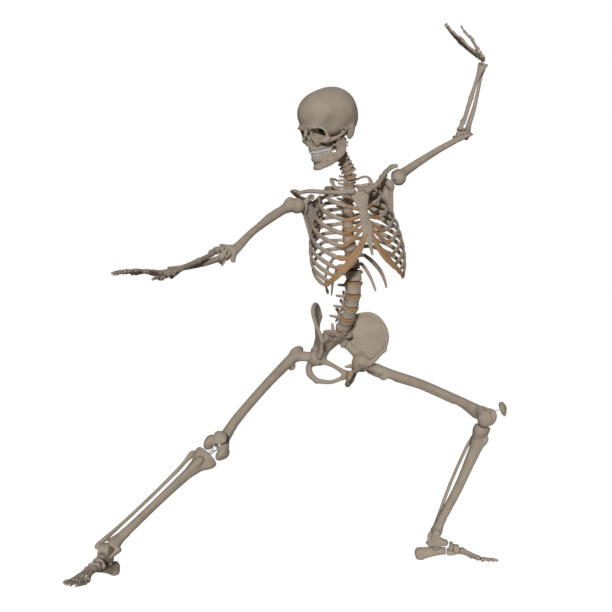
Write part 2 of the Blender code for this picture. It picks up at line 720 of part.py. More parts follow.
def make_shoulder_girdle(side):
    word, k = WORD[side], side
    start, end = clavicle_ends(side)
    place = scapula_frame(side)

    def build_clavicle(bm):
        path = smooth_path([start, start.lerp(end, 0.3) + Vector((0, -10, 0)),
                            start.lerp(end, 0.72) + Vector((0, 9, 2)), end], 3)
        tube(bm, path, [6.5] + [(5.5, 5.5)] * 6 + [(6.2, 5)] * 2 + [(6, 5)], sides=10)
        blob(bm, start, 9, segments=14, rings=10)
        blob(bm, end, 6.5, segments=14, rings=10)

    def build_scapula(bm):
        rows = []
        for share in (0.0, 0.34, 0.67, 1.0):
            top = Vector((-k * (38 + 82 * share), 2 + 8 * share, 14 + 34 * share))
            foot = Vector((-k * (36 + 66 * share), 2 + 10 * share, -14 - 92 * share))
            edge = Vector((-k * (36 + 94 * share), 2 + 4 * share, 0 - 8 * share))
            rows.append([top, top.lerp(edge, 0.5), edge, edge.lerp(foot, 0.5) + Vector((0, -1, 0)),
                         foot])
        plate(bm, rows, 4.5)
        tube(bm, [(-k * 34, 2, -16), (-k * 68, 8, -62), (-k * 102, 12, -106)], [5, 4.5, 4], sides=8)
        tube(bm, [(-k * 130, 6, -6), (-k * 124, 10, 34), (-k * 118, 11, 50)], [3.5, 3.5, 3.5], sides=8)
        blob(bm, (-k * 33, 0, 0), (12, 14, 19))
        tube(bm, [(-k * 122, 10, 20), (-k * 84, 20, 26), (-k * 48, 32, 34), (-k * 22, 34, 42),
                  (-k * 4, 18, 44), (k * 2, 4, 42)],
             [(4, 4), (5, 7), (5, 8), (6, 5), (9, 4.5), (7, 4)], sides=8)
        plate(bm, [[(-k * 120, 8, 18), (-k * 80, 4, 20), (-k * 40, 2, 18)],
                   [(-k * 120, 11, 20), (-k * 84, 20, 26), (-k * 48, 31, 33)]], 4)
        tube(bm, [(-k * 8, 20, 43), (-k * 2, 10, 43), place.inverted() @ end],
             [(7, 4), (8, 5), (7, 5)], sides=8)
        tube(bm, [(-k * 36, -2, 16), (-k * 36, -22, 32), (-k * 20, -38, 22)], [8, 6, 5], sides=8)

    def joint_cuts(bm):
        blob(bm, (0, 0, 0), HUMERUS_HEAD + BALL_GAP, segments=20, rings=12)
        rod(bm, (0, 0, 0), (-k * 60, 0, 0), STUD_RADIUS + GAP, sides=16)

    def stud_bore_end(bm):
        local = place.inverted() @ end
        inward = (place.inverted() @ start - local).normalized()
        blob(bm, local, 6.8 + GAP, segments=16, rings=10)
        rod(bm, local, local + inward * 30, 9.2, sides=14)

    piece(word + "_clavicle", "thorax", bone, build_clavicle, fused=(1.8, 1, 170))
    obj = piece(word + "_scapula", "thorax", bone, build_scapula, cuts=(joint_cuts, stud_bore_end),
                fused=(2.2, 2, 460))
    move_mesh(obj, place)


def move_mesh(obj, place):
    """Move a finished mesh by a frame given in millimetres."""
    metres = place.copy()
    metres.translation *= MM
    obj.data.transform(metres)


# ---------------------------------------------------------------- head and neck
def neck_frame(t):
    return spine_frame(turned(x=8), moved(0, -12, NECK_HEIGHT - 7) @ turned(x=-14), t)


def make_neck():
    base = 12
    levels = [neck_frame(0.1 + 0.9 * (i + 0.5) / 6) for i in range(5)]
    top = neck_frame(0.84)

    def build_column(bm):
        rings = [neck_frame(0), *levels, top @ moved(0, 0, -GAP)]
        column(bm, rings, [(15, 10)] + [(13 - i, 9 - i * 0.4) for i in range(5)] + [(9.5, 7.5)])
        for i, place in enumerate(levels):
            tip = (44 - 5 * i if i < 2 else 32, -5)
            arch(bm, place, 15 - i * 0.6, 15, tip, 22 - i, thick=3.6)
            for k in (LEFT, RIGHT):
                blob(bm, place @ Vector((k * (16 - i * 0.5), 8, 0)), (6, 6, 6.5))

    def first_joint(bm):
        across = (frames["neck"].inverted() @ frames["thorax"]).to_3x3().col[0] * 15
        rod(bm, -across, across, base, sides=26)

    def build_axis(bm):
        place = neck_frame(0.92)
        tube(bm, [top @ Vector((0, 0, 2)), (0, -8, NECK_HEIGHT - 8), (0, -12, NECK_HEIGHT - 2)],
             [(9.5, 7.5), (10, 8), (9, 8)], sides=12)
        for k in (LEFT, RIGHT):
            blob(bm, (k * 16, -9, NECK_HEIGHT - 4), (10, 9, 6))
        arch(bm, place, 15, 18, (36, -8), 19, thick=4)

    def dens(bm):
        rod(bm, (0, -12, NECK_HEIGHT - 6), (0, -12, NECK_HEIGHT + 16), 4.6, sides=16, end_radius=3.6)

    def above_axis(bm):
        for k in (LEFT, RIGHT):
            block(bm, (k * 20 - 14, -40, NECK_HEIGHT - GAP / 2), (k * 20 + 14, 20, NECK_HEIGHT + 30))
        block(bm, (-30, -3, NECK_HEIGHT - GAP / 2), (30, 40, NECK_HEIGHT + 30))
        block(bm, (-30, -60, NECK_HEIGHT - GAP / 2), (30, -20, NECK_HEIGHT + 30))

    def under_axis(bm):
        place = top
        block_corners = moved(0, 0, 0)
        column(bm, [place @ moved(0, 0, -40), place], [(45, 14), (45, 14)], sides=16)

    piece("cervical_vertebrae", "neck", bone, build_column, fused=(1.7, 1, 700),
          adds=(first_joint,), cuts=(above_c3,))
    piece("axis_vertebra", "neck", bone, build_axis, fused=(1.6, 1, 260), adds=(dens,),
          cuts=(above_axis, under_axis, c3_clearance))


def above_c3(bm):
    """Room for the axis above the third cervical vertebra."""
    place = neck_frame(0.84)
    column(bm, [place @ moved(0, 0, -GAP), place @ moved(0, 0, 60)], [(60, 60), (60, 60)], sides=16)


def c3_clearance(bm):
    place = neck_frame(0.84)
    column(bm, [place @ moved(0, 0, -60), place], [(60, 60), (60, 60)], sides=16)


def make_atlas():
    head_axis = frames["atlas"].inverted() @ frames["head"]

    def build(bm):
        ring = [(21 * math.sin(a), 10 - 20 * math.cos(a), 9)
                for a in (2 * math.pi * i / 20 for i in range(21))]
        tube(bm, ring, [4] * 21, sides=8)
        for k in (LEFT, RIGHT):
            blob(bm, (k * 19, 3, 8), (9.5, 11, 10.5))
            tube(bm, [(k * 22, 6, 8), (k * 36, 10, 7)], [4.5, 3.5], sides=8)

    def seats(bm):
        block(bm, (-60, -60, -40), (60, 60, GAP / 2))
        x_axis = head_axis.to_3x3().col[0] * 50
        centre = head_axis.translation
        rod(bm, centre - x_axis, centre + x_axis, 12 + GAP, sides=32)
        rod(bm, (0, 0, -20), (0, 0, 40), 4.6 + 1.5, sides=20)

    piece("atlas_vertebra", "atlas", bone, build, cuts=(seats,), fused=(1.7, 1, 320))


def dental_arch(inset, z, lift=0.0):
    """Points along the tooth row from the last left molar round to the last right one."""
    half = [(30, -38), (29, -50), (25.5, -62), (20, -74), (11, -84), (0, -88)]
    left = [Vector((x - inset * (x / 30), y + inset * (1 if x < 26 else 0.3), z + lift * (88 + y) / 50))
            for x, y in half]
    return left + [Vector((-p.x, p.y, p.z)) for p in reversed(left[:-1])]


TOOTH_TOP, TOOTH_MEET, TOOTH_FOOT = -15.0, -25.0, -34.0


def upper_tooth_band(bm, extra=0.0):
    path = dental_arch(1.0, (TOOTH_TOP + TOOTH_MEET) / 2)
    tube(bm, path, [(4 + extra, (TOOTH_TOP - TOOTH_MEET) / 2 - GAP / 2 + extra)] * len(path),
         sides=6, cap=0.2)


def lower_tooth_band(bm, extra=0.0):
    path = [p + Vector((0, 12, -22)) for p in dental_arch(2.5, (TOOTH_MEET + TOOTH_FOOT) / 2)]
    tube(bm, path, [(3.6 + extra, (TOOTH_MEET - TOOTH_FOOT) / 2 - GAP / 2 + extra)] * len(path),
         sides=6, cap=0.2)


def make_head():
    half = SKULL_WIDTH / 2
    back = SKULL_LENGTH / 2 - 4
    mid = SKULL_CROWN - 70

    def vault(bm, wall=0.0):
        blob(bm, (0, back - half, mid), (half - wall, half - wall, 70 - wall),
             segments=18, rings=11)
        if wall == 0:
            blob(bm, (0, -22, mid), (half - 10, 73, 66), segments=24, rings=16)
            blob(bm, (0, -4, mid + 1), (half - 3, 77, 69), segments=24, rings=16)
        else:
            blob(bm, (0, -24, mid + 16), (half - 17, 63, 44), segments=16, rings=9)

    def build(bm):
        vault(bm)
        blob(bm, (0, -78, 54), (46, 16, 12))
        blob(bm, (0, 8, 12), (32, 34, 16))
        blob(bm, (0, -66, 4), (27, 24, 24))
        tube(bm, dental_arch(1.5, TOOTH_TOP + 4), [(5.5, 7)] * 11, sides=8)
        tube(bm, [(0, -88, 50), (0, -98, 34), (0, -101, 26)], [(9, 6), (8, 6), (9, 5)], sides=8)
        for k in (LEFT, RIGHT):
            rod(bm, (k * 10, 0, 0), (k * 24, 0, 1), 9, sides=12)
            tube(bm, [(k * 14, -80, 44), (k * 15, -82, 24), (k * 22, -76, 4)], [7, 7, 9], sides=8)
            blob(bm, (k * 46, -62, 14), (15, 14, 12))
            tube(bm, [(k * 30, -76, 51), (k * 46, -72, 48), (k * 54, -64, 34), (k * 50, -66, 16)],
                 [7, 6, 5.5, 7], sides=8)
            tube(bm, [(k * 30, -76, 12), (k * 44, -70, 12)], [8, 8], sides=8)
            tube(bm, [(k * 52, -60, 14), (k * 63, -40, 15), (k * 65, -18, 22), (k * 60, 4, 28)],
                 [(3, 7), (2.8, 5.5), (2.8, 5.5), (4, 6)], sides=8)
            blob(bm, (k * 53, -12, 33), (10, 13, 7))
            blob(bm, (k * 52, 20, 6), (10, 13, 20))
            tube(bm, [(k * 22, -40, 10), (k * 24, -38, -14)], [(4, 10), (3, 8)], sides=8)

    def occipital_condyles(bm):
        for k in (LEFT, RIGHT):
            rod(bm, (k * 9, 0, 0), (k * 25, 0, 0), 12, sides=18)

    def hollows(bm):
        vault(bm, SKULL_WALL)
        rod(bm, (0, 16, -24), (0, 16, 50), 16, sides=20)

    def openings(bm):
        for k in (LEFT, RIGHT):
            blob(bm, (k * 34, -84, 32), (19, 24, 16.5), turned(z=k * 14), 16, 10)
            blob(bm, (k * 30, -66, 31), (13, 22, 12), turned(z=k * 20), 14, 8)
        blob(bm, (0, -98, 10), (11.5, 26, 15), None, 16, 10)
        blob(bm, (0, -52, -22), (20, 30, 12), None, 16, 8)

    def seats(bm):
        upper_tooth_band(bm, GAP)
        lower_room = [(-80, -120, -80), (80, -20, TOOTH_MEET + GAP)]
        block(bm, *lower_room)
        for k in (LEFT, RIGHT):
            rod(bm, (k * 40, -12, 22), (k * 66, -12, 22), JAW_CONDYLE + GAP, sides=20)

    piece("cranium", "head", bone, build, rough=(hollows, openings),
          adds=(occipital_condyles,), cuts=(seats,), fused=(2.4, 3, 1700))
    piece("upper_teeth", "head", enamel, upper_tooth_band)

    def build_jaw(bm):
        arch_low = [Vector((x, y, z)) for x, y, z in
                    ((46, -8, -54), (42, -26, -66), (33, -44, -74), (22, -60, -79), (0, -68, -80))]
        arch_low += [Vector((-p.x, p.y, p.z)) for p in reversed(arch_low[:-1])]
        tube(bm, arch_low, [(4.5, 9), (5, 11), (5, 12), (5, 13), (6, 14), (5, 13), (5, 12), (5, 11),
                            (4.5, 9)], sides=10)
        gum = [p + Vector((0, 12, -22 + TOOTH_FOOT - 5)) for p in dental_arch(2.0, 0)]
        tube(bm, gum, [(5, 8)] * 11, sides=8)
        blob(bm, (0, -72, -88), (14, 8, 8))
        for k in (LEFT, RIGHT):
            plate(bm, [[(k * 51, 3, -6), (k * 50, -8, -16), (k * 49, -20, -14), (k * 49, -31, -6)],
                       [(k * 49, 4, -30), (k * 48, -10, -32), (k * 47, -20, -34), (k * 45, -32, -34)],
                       [(k * 47, 2, -54), (k * 46, -10, -60), (k * 44, -24, -66), (k * 42, -34, -62)]],
                  6)
            tube(bm, [(k * 51, 1, -16), (k * 52, 0, -2)], [(7, 4), (7, 4)], sides=8)

    def condyles(bm):
        for k in (LEFT, RIGHT):
            rod(bm, (k * 43, 0, 0), (k * 61, 0, 0), JAW_CONDYLE, sides=20)

    def jaw_seats(bm):
        lower_tooth_band(bm, GAP)
        block(bm, (-80, -120, TOOTH_MEET - 22 - GAP), (80, -24, 60))

    piece("mandible", "jaw", bone, build_jaw, adds=(condyles,), cuts=(jaw_seats,),
          fused=(1.9, 2, 520))
    piece("lower_teeth", "jaw", enamel, lower_tooth_band)


# ---------------------------------------------------------------- pelvis
def make_pelvis():
    hip = HIP_SPACING / 2
    flare = PELVIS_WIDTH / 270
    joint = frames["pelvis"].inverted() @ frames["lumbar"]

    def sacroiliac_planes(bm):
        for k in (LEFT, RIGHT):
            block(bm, *sorted_corners((k * (44 - GAP / 2), 20, -60), (k * 120, 140, 160)))

    def build_sacrum(bm):
        tube(bm, [(0, 24, 90), (0, 42, 66), (0, 62, 40), (0, 75, 12), (0, 73, -8), (0, 62, -26)],
             [(26, 15), (42, 14), (34, 12), (19, 9), (9, 6), (4.5, 4)], reference=(0, 1, 0), sides=14)
        for k in (LEFT, RIGHT):
            blob(bm, (k * 30, 34, 78), (20, 16, 15))
            blob(bm, (k * 38, 52, 56), (14, 14, 22))
        tube(bm, [(0, 46, 88), (0, 66, 60), (0, 78, 36)], [(7, 6), (7, 6), (5, 5)], sides=8)

    def lumbar_socket(bm):
        centre = joint.translation
        across = joint.to_3x3().col[0] * 70
        rod(bm, centre - across, centre + across, DISC_RADIUS + GAP, sides=32)

    piece("sacrum_and_coccyx", "pelvis", bone, build_sacrum, fused=(2.4, 2, 460),
          cuts=(sacroiliac_planes, lumbar_socket))
    piece("pubic_symphysis", "pelvis", cartilage,
          lambda bm: tube(bm, [(-3.2 + GAP, -50, -20), (3.2 - GAP, -50, -20)], [(16, 7), (16, 7)],
                          reference=(0, 1, 0), sides=12, cap=0))

    for side in (LEFT, RIGHT):
        k = side

        def build_hip_bone(bm, k=k):
            rows = [[(116, -47, 84), (131, -23, 119), (133, 7, 137), (117, 41, 134), (86, 66, 117),
                     (40, 88, 92)],
                    [(108, -40, 56), (111, -20, 76), (109, 4, 86), (96, 34, 87), (72, 56, 76),
                     (40, 80, 56)],
                    [(98, -28, 22), (96, -12, 34), (94, 4, 40), (84, 22, 38), (68, 38, 34),
                     (42, 60, 30)]]
            rows = [[(k * x * flare, y, z) for x, y, z in row] for row in rows]
            plate(bm, rows, 6)
            tube(bm, smooth_path(rows[0], 3), [6] * 16, sides=8)
            tube(bm, [rows[0][0], (k * 108, -40, 44), (k * 96, -26, 18)], [7, 7, 12], sides=8)
            tube(bm, [(k * 86, 14, 24), (k * 64, 44, 32), (k * 42, 68, 48)], [12, 9, 8], sides=8)
            blob(bm, (k * (hip - 6), 3, 4), (27, 31, 31), segments=16, rings=12)
            tube(bm, [(k * 80, 20, -14), (k * 70, 32, -48), (k * 58, 32, -80)], [16, 13, 14], sides=10)
            tube(bm, [(k * 74, -16, -2), (k * 46, -38, -4), (k * 12, -50, -14)], [11, 8, 8], sides=8)
            blob(bm, (k * 12, -50, -22), (10, 9, 18))
            tube(bm, [(k * 12, -46, -34), (k * 32, -18, -66), (k * 56, 20, -88)], [6.5, 6, 8], sides=8)

        def neck_room(bm, k=k):
            """Room for the neck of the femur through the hip's travel."""
            stud = frames["pelvis"].inverted() @ frames[WORD[k] + "_hip_stud"]
            thigh = frames[WORD[k] + "_hip_stud"].inverted() @ frames[WORD[k] + "_thigh"]
            for swing, spread in ((0, 0), (-12, 0), (12, 0), (0, -12), (0, 12)):
                place = stud @ turned(x=swing) @ turned(y=spread) @ thigh
                tube(bm, [place @ Vector(p) for p in
                          ((k * 13, 2, -8), (k * 30, 4, -20), (k * 52, 8, -32))],
                     [17.5, 16, 21.5], sides=10)

        def joint_cuts(bm, k=k):
            block(bm, *sorted_corners((-k * 60, -140, -80), (k * 3.2, 20, 60)))
            block(bm, *sorted_corners((-k * 60, 20, -160), (k * (44 + GAP / 2), 140, 160)))
            blob(bm, (k * hip, 0, 0), FEMUR_HEAD + BALL_GAP, segments=20, rings=12)
            rod(bm, (k * hip, 0, 0), (k * (hip - 46), 0, 0), STUD_RADIUS + GAP, sides=16)

        piece(WORD[side] + "_hip_bone", "pelvis", bone, build_hip_bone, fused=(2.5, 2, 720),
              rough=((neck_room, (2.4, 1, 300)),), cuts=(joint_cuts,))


def sorted_corners(a, b):
    low = tuple(min(x, y) for x, y in zip(a, b))
    high = tuple(max(x, y) for x, y in zip(a, b))
    return low, high


# ---------------------------------------------------------------- legs
HIP_SWEEP = 60             # half angle of the slot for the stud
SHOULDER_SWEEP = 60


def head_slot(bm, place, k, sweep, head_radius):
    """Bore for the stud's cross pin and the fan its shaft swings in."""
    turn = place.to_3x3()
    pin, shaft = turn.col[1].normalized(), turn.col[0].normalized() * -k
    rod(bm, -pin * (10 + GAP), pin * (10 + GAP), PIN_RADIUS + GAP, sides=16)
    fan(bm, (0, 0, 0), pin, shaft, sweep, head_radius + 12, 2 * (STUD_RADIUS + GAP), steps=6)


def build_stud(bm, k, reach):
    rod(bm, (0, 0, 0), (-k * reach, 0, 0), STUD_RADIUS, sides=14)


def stud_pin(bm):
    rod(bm, (0, -10, 0), (0, 10, 0), PIN_RADIUS, sides=16)


def make_leg(side):
    word, k = WORD[side], side
    thigh, stud = frames[word + "_thigh"], frames[word + "_hip_stud"]
    knee = Vector((0, 0, -FEMUR_LENGTH))
    shaft = [(k * 50, 6, -34), (k * 46, 2, -90), (k * 36, -8, -0.45 * FEMUR_LENGTH),
             (k * 20, -8, -0.75 * FEMUR_LENGTH), (k * 6, -3, 42 - FEMUR_LENGTH)]

    def build_femur(bm):
        tube(bm, [(k * 10, 1, -6), (k * 30, 4, -20), (k * 50, 6, -36)], [14.5, 12.5, 17], sides=10)
        tube(bm, smooth_path(shaft, 3), [17, 15.5, 14.5, 13.8] + [13.5] * 4 + [(15, 13.5)] * 2
             + [(18, 14)] * 2 + [(24, 16)], sides=12)
        blob(bm, (k * 60, 12, -22), (13, 17, 21))
        blob(bm, (k * 34, 22, -66), (10, 9, 13))
        for m in (LEFT, RIGHT):
            blob(bm, knee + Vector((m * 23, 1.5, 0.5)), (15, 1.19 * KNEE_RADIUS, KNEE_RADIUS),
                 segments=16, rings=12)
            blob(bm, knee + Vector((m * 30, 2, 5)), (11, 0.8 * KNEE_RADIUS, 0.71 * KNEE_RADIUS))
        blob(bm, knee + Vector((0, -10, 16)), (24, 15, 0.86 * KNEE_RADIUS))

    def head_exact(bm):
        blob(bm, (0, 0, 0), FEMUR_HEAD, segments=16, rings=10)

    def femur_cuts(bm):
        head_slot(bm, thigh.inverted() @ stud, k, HIP_SWEEP, FEMUR_HEAD)

    def notch(bm):
        block(bm, knee + Vector((-5 - GAP, -22, -40)), knee + Vector((5 + GAP, 40, 14)))
        rod(bm, knee + Vector((-26 - GAP, 0, 0)), knee + Vector((26 + GAP, 0, 0)), 3 + GAP, sides=16)

    def build_hinge(bm):
        rod(bm, (-5, 0, 0), (5, 0, 0), 0.45 * KNEE_RADIUS, sides=24)
        block(bm, (-4.6, -8, -KNEE_RADIUS - KNEE_GAP + GAP), (4.6, 8, -2))

    def hinge_pin(bm):
        rod(bm, (-26, 0, 0), (26, 0, 0), 3, sides=16)

    plateau = -KNEE_RADIUS - KNEE_GAP
    wide = PLATEAU_WIDTH / 2
    torsion = turned(z=torsions[side])

    def down(x, y, share):
        """Point of the shaft; the frame turns with the bone's torsion towards the ankle."""
        turn = turned(z=torsions[side] * share)
        return turn @ Vector((x, y, -TIBIA_LENGTH * share))

    def build_tibia(bm):
        tube(bm, [(0, 3, plateau + 4), (0, 3, plateau - 12), (0, 0, plateau - 30),
                  down(0, -4, 0.28), down(-k * 2, -5, 0.55), down(-k * 1, 0, 0.86),
                  down(-k * 2, 0, 0.945)],
             [(wide - 4, 22), (wide, 24), (26, 20), (14.5, 17), (11.5, 13.5), (12, 12), (20, 17)],
             reference=(0, 1, 0), sides=14)
        blob(bm, (0, -20, plateau - 38), (10, 8, 16))
        malleolus = [torsion @ Vector((-k * 22, 0, z - TIBIA_LENGTH)) for z in (22, 6, -3)]
        tube(bm, malleolus, [(8, 11), (5.5, 9), (4.5, 7)], reference=(0, 1, 0), sides=8)

    def tibia_cuts(bm):
        block(bm, (-60, -60, plateau), (60, 60, 60))
        across = torsion.to_3x3().col[0]
        centre = Vector((0, 0, -TIBIA_LENGTH))
        rod(bm, centre - across * 17.3, centre + across * 17.3, TALUS_DOME + GAP, sides=28)

    def build_fibula(bm):
        tube(bm, [(k * 38, 14, -48), (k * 39, 15, -62), down(k * 35, 12, 0.3), down(k * 30, 8, 0.6),
                  down(k * 26, 5, 0.86), down(k * 25, 3, 0.96), down(k * 24, 3, 1.012)],
             [(9, 10), (7, 7), 5.5, 5.2, 6, (6, 8), (4.5, 7)], sides=10)

    def tibia_room(bm):
        """The tibia's own outline near both joints with the fibula."""
        tube(bm, [(0, 3, plateau - 2), (0, 3, plateau - 12), (0, 0, plateau - 32)],
             [(wide, 23.6), (wide + 0.2, 24), (26.2, 20.2)], reference=(0, 1, 0), sides=20)
        tube(bm, [down(-k * 1, 0, 0.84), down(-k * 2, 0, 0.945), down(-k * 2, 0, 1.1)],
             [(12.5, 12.5), (20.5, 17.5), (20.5, 17.5)], reference=(0, 1, 0), sides=20)

    def build_patella(bm):
        tube(bm, [(0, 0, 16), (0, 0, 4), (0, 1, -10), (0, 2, -20)], [(14, 7), (20, 10), (14, 8), (5, 4)],
             reference=(0, 1, 0), sides=12)

    def patella_pin(bm):
        rod(bm, (k * 15, 2, 0), (k * 15, 33, 0), 1.3, sides=8)

    piece(word + "_femur", word + "_thigh", bone, build_femur, fused=(2.6, 2, 520),
          adds=(head_exact,), cuts=(femur_cuts, notch, femur_pin_bore(side)))
    piece(word + "_hip_stud", word + "_hip_stud", steel,
          lambda bm: build_stud(bm, k, FEMUR_HEAD + 18), adds=(stud_pin,))
    obj = piece(word + "_patella", word + "_thigh", bone, build_patella, fused=(1.8, 1, 110),
                adds=(patella_pin,))
    move_mesh(obj, patella_frame(side))
    piece(word + "_knee_hinge", word + "_shin", steel, build_hinge, adds=(hinge_pin,))
    piece(word + "_tibia", word + "_shin", bone, build_tibia, fused=(2.4, 2, 380),
          cuts=(tibia_cuts,))
    piece(word + "_fibula", word + "_shin", bone, build_fibula, fused=(1.8, 1, 170),
          cuts=(tibia_room,))
    make_foot(side)


def patella_frame(side):
    """Half way round the bent knee, in the thigh's frame."""
    bend = KNEE_FLEX[side] * 0.42
    return (moved(0, 0, -FEMUR_LENGTH) @ turned(x=bend) @ moved(0, -46, 10))


def femur_pin_bore(side):
    place = patella_frame(side)

    def bore(bm):
        rod(bm, place @ Vector((side * 15, 0, 0)), place @ Vector((side * 15, 33 + GAP, 0)), 1.3 + GAP, sides=10)
    return bore


def make_foot(side):
    word, k = WORD[side], side
    sole = -ANKLE_HEIGHT
    seat = SUBTALAR_RADIUS
    foot = frames[word + "_talus"].inverted() @ frames[word + "_foot"]

    def build_talus(bm):
        rod(bm, (-16.5, 0, 0), (16.5, 0, 0), TALUS_DOME, sides=22)

    def talus_body(bm):
        """Wedge with a round underside, lying along the foot."""
        half = math.degrees(math.asin(17 / seat))
        arc = [(seat * math.sin(a), -seat * math.cos(a))
               for a in (math.radians(-half + 2 * half * i / 10) for i in range(11))]
        prism(bm, [(-17, -5), *arc, (17, -5)], -30, 26, foot @ turned(z=90))

    def talus_head(bm):
        blob(bm, foot @ Vector((0, -31, -16)), 12, segments=14, rings=9)

    def malleolar_rooms(bm):
        for m in (LEFT, RIGHT):
            rod(bm, (m * 17, 0, 0), (m * 60, 0, 0), seat + 1, sides=24)

    def build_calcaneus(bm):
        tube(bm, [(0, FOOT_BACK - 10, sole + 21), (0, 22, sole + 27), (k * 3, -8, sole + 31),
                  (k * 5, -34, sole + 26)], [(15, 20), (14, 24), (17, 22), (13, 15)], sides=12)

    def seat_room(bm):
        rod(bm, (0, 60, 0), (0, -44 - GAP, 0), seat + GAP, sides=32)

    def calcaneus_trim(bm):
        block(bm, (-40, -80, sole - 20), (40, 80, sole))
        block(bm, (-60, -120, -120), (60, -34, 60))

    def build_forefoot(bm):
        blob(bm, (-k * 6, -49, sole + 40), (19, 13, 17))
        blob(bm, (k * 16, -44, sole + 24), (13, 16, 12))
        tube(bm, [(-k * 12, -56, sole + 30), (k * 16, -60, sole + 22)], [(12, 13), (11, 11)], sides=10)
        toes = [(-26, 128, 9.0, FOOT_FRONT), (-9, 132, 5.5, FOOT_FRONT - 4),
                (5, 127, 5.2, FOOT_FRONT - 14), (18, 119, 5.0, FOOT_FRONT - 26),
                (31, 108, 5.2, FOOT_FRONT - 42)]
        for i, (x, knuckle_y, r, tip) in enumerate(toes):
            start = Vector((k * (-16 + 9 * i), -60, sole + 30 - 2.5 * i))
            head = Vector((k * x, -knuckle_y, sole + r + 1))
            end = Vector((k * (x * 1.08 - 1), -tip + 5, sole + 5))
            tube(bm, [start, start.lerp(head, 0.5) + Vector((0, 0, 5)), head,
                      head.lerp(end, 0.5) + Vector((0, 0, 4)), end],
                 [r + 1, r * 0.8, r + 1, r * 0.8, r * 0.8], sides=8)

    def forefoot_trim(bm):
        block(bm, (-80, -240, sole - 20), (80, 80, sole + 0.3))
        block(bm, (-60, -34 - GAP, -120), (60, 60, 60))

    piece(word + "_talus", word + "_talus", bone, build_talus, adds=(talus_body, talus_head),
          cuts=(malleolar_rooms,))
    piece(word + "_calcaneus", word + "_foot", bone, build_calcaneus, fused=(2.0, 1, 220),
          cuts=(seat_room, calcaneus_trim))
    piece(word + "_forefoot", word + "_foot", bone, build_forefoot, fused=(1.9, 1, 560),
          cuts=(seat_room, forefoot_trim))


# ---------------------------------------------------------------- arms
FINGERS = {  # knuckle X, knuckle Z from the wrist, length, root X and Z in the carpus
    "index": (24, -PALM_LENGTH + 1, 78, 13, -32), "middle": (7, -PALM_LENGTH, 88, 4, -33),
    "ring": (-9, -PALM_LENGTH + 5, 80, -6, -32), "little": (-24, -PALM_LENGTH + 12, 62, -14, -30)}
THUMB_ROOT, THUMB_KNUCKLE, THUMB_TIP = (20, -6, -24), (42, -16, -62), (60, -22, -112)


def knuckle(name, k):
    if name == "thumb":
        x, y, z = THUMB_KNUCKLE
        return Vector((k * x, y, z))
    x, z = FINGERS[name][:2]
    return Vector((k * x, 0, z))


def fingertip(name, k):
    if name == "thumb":
        x, y, z = THUMB_TIP
        return Vector((k * x, y, z))
    x, z, length = FINGERS[name][:3]
    return Vector((k * (x * 1.35 - 2), -6, z - length))


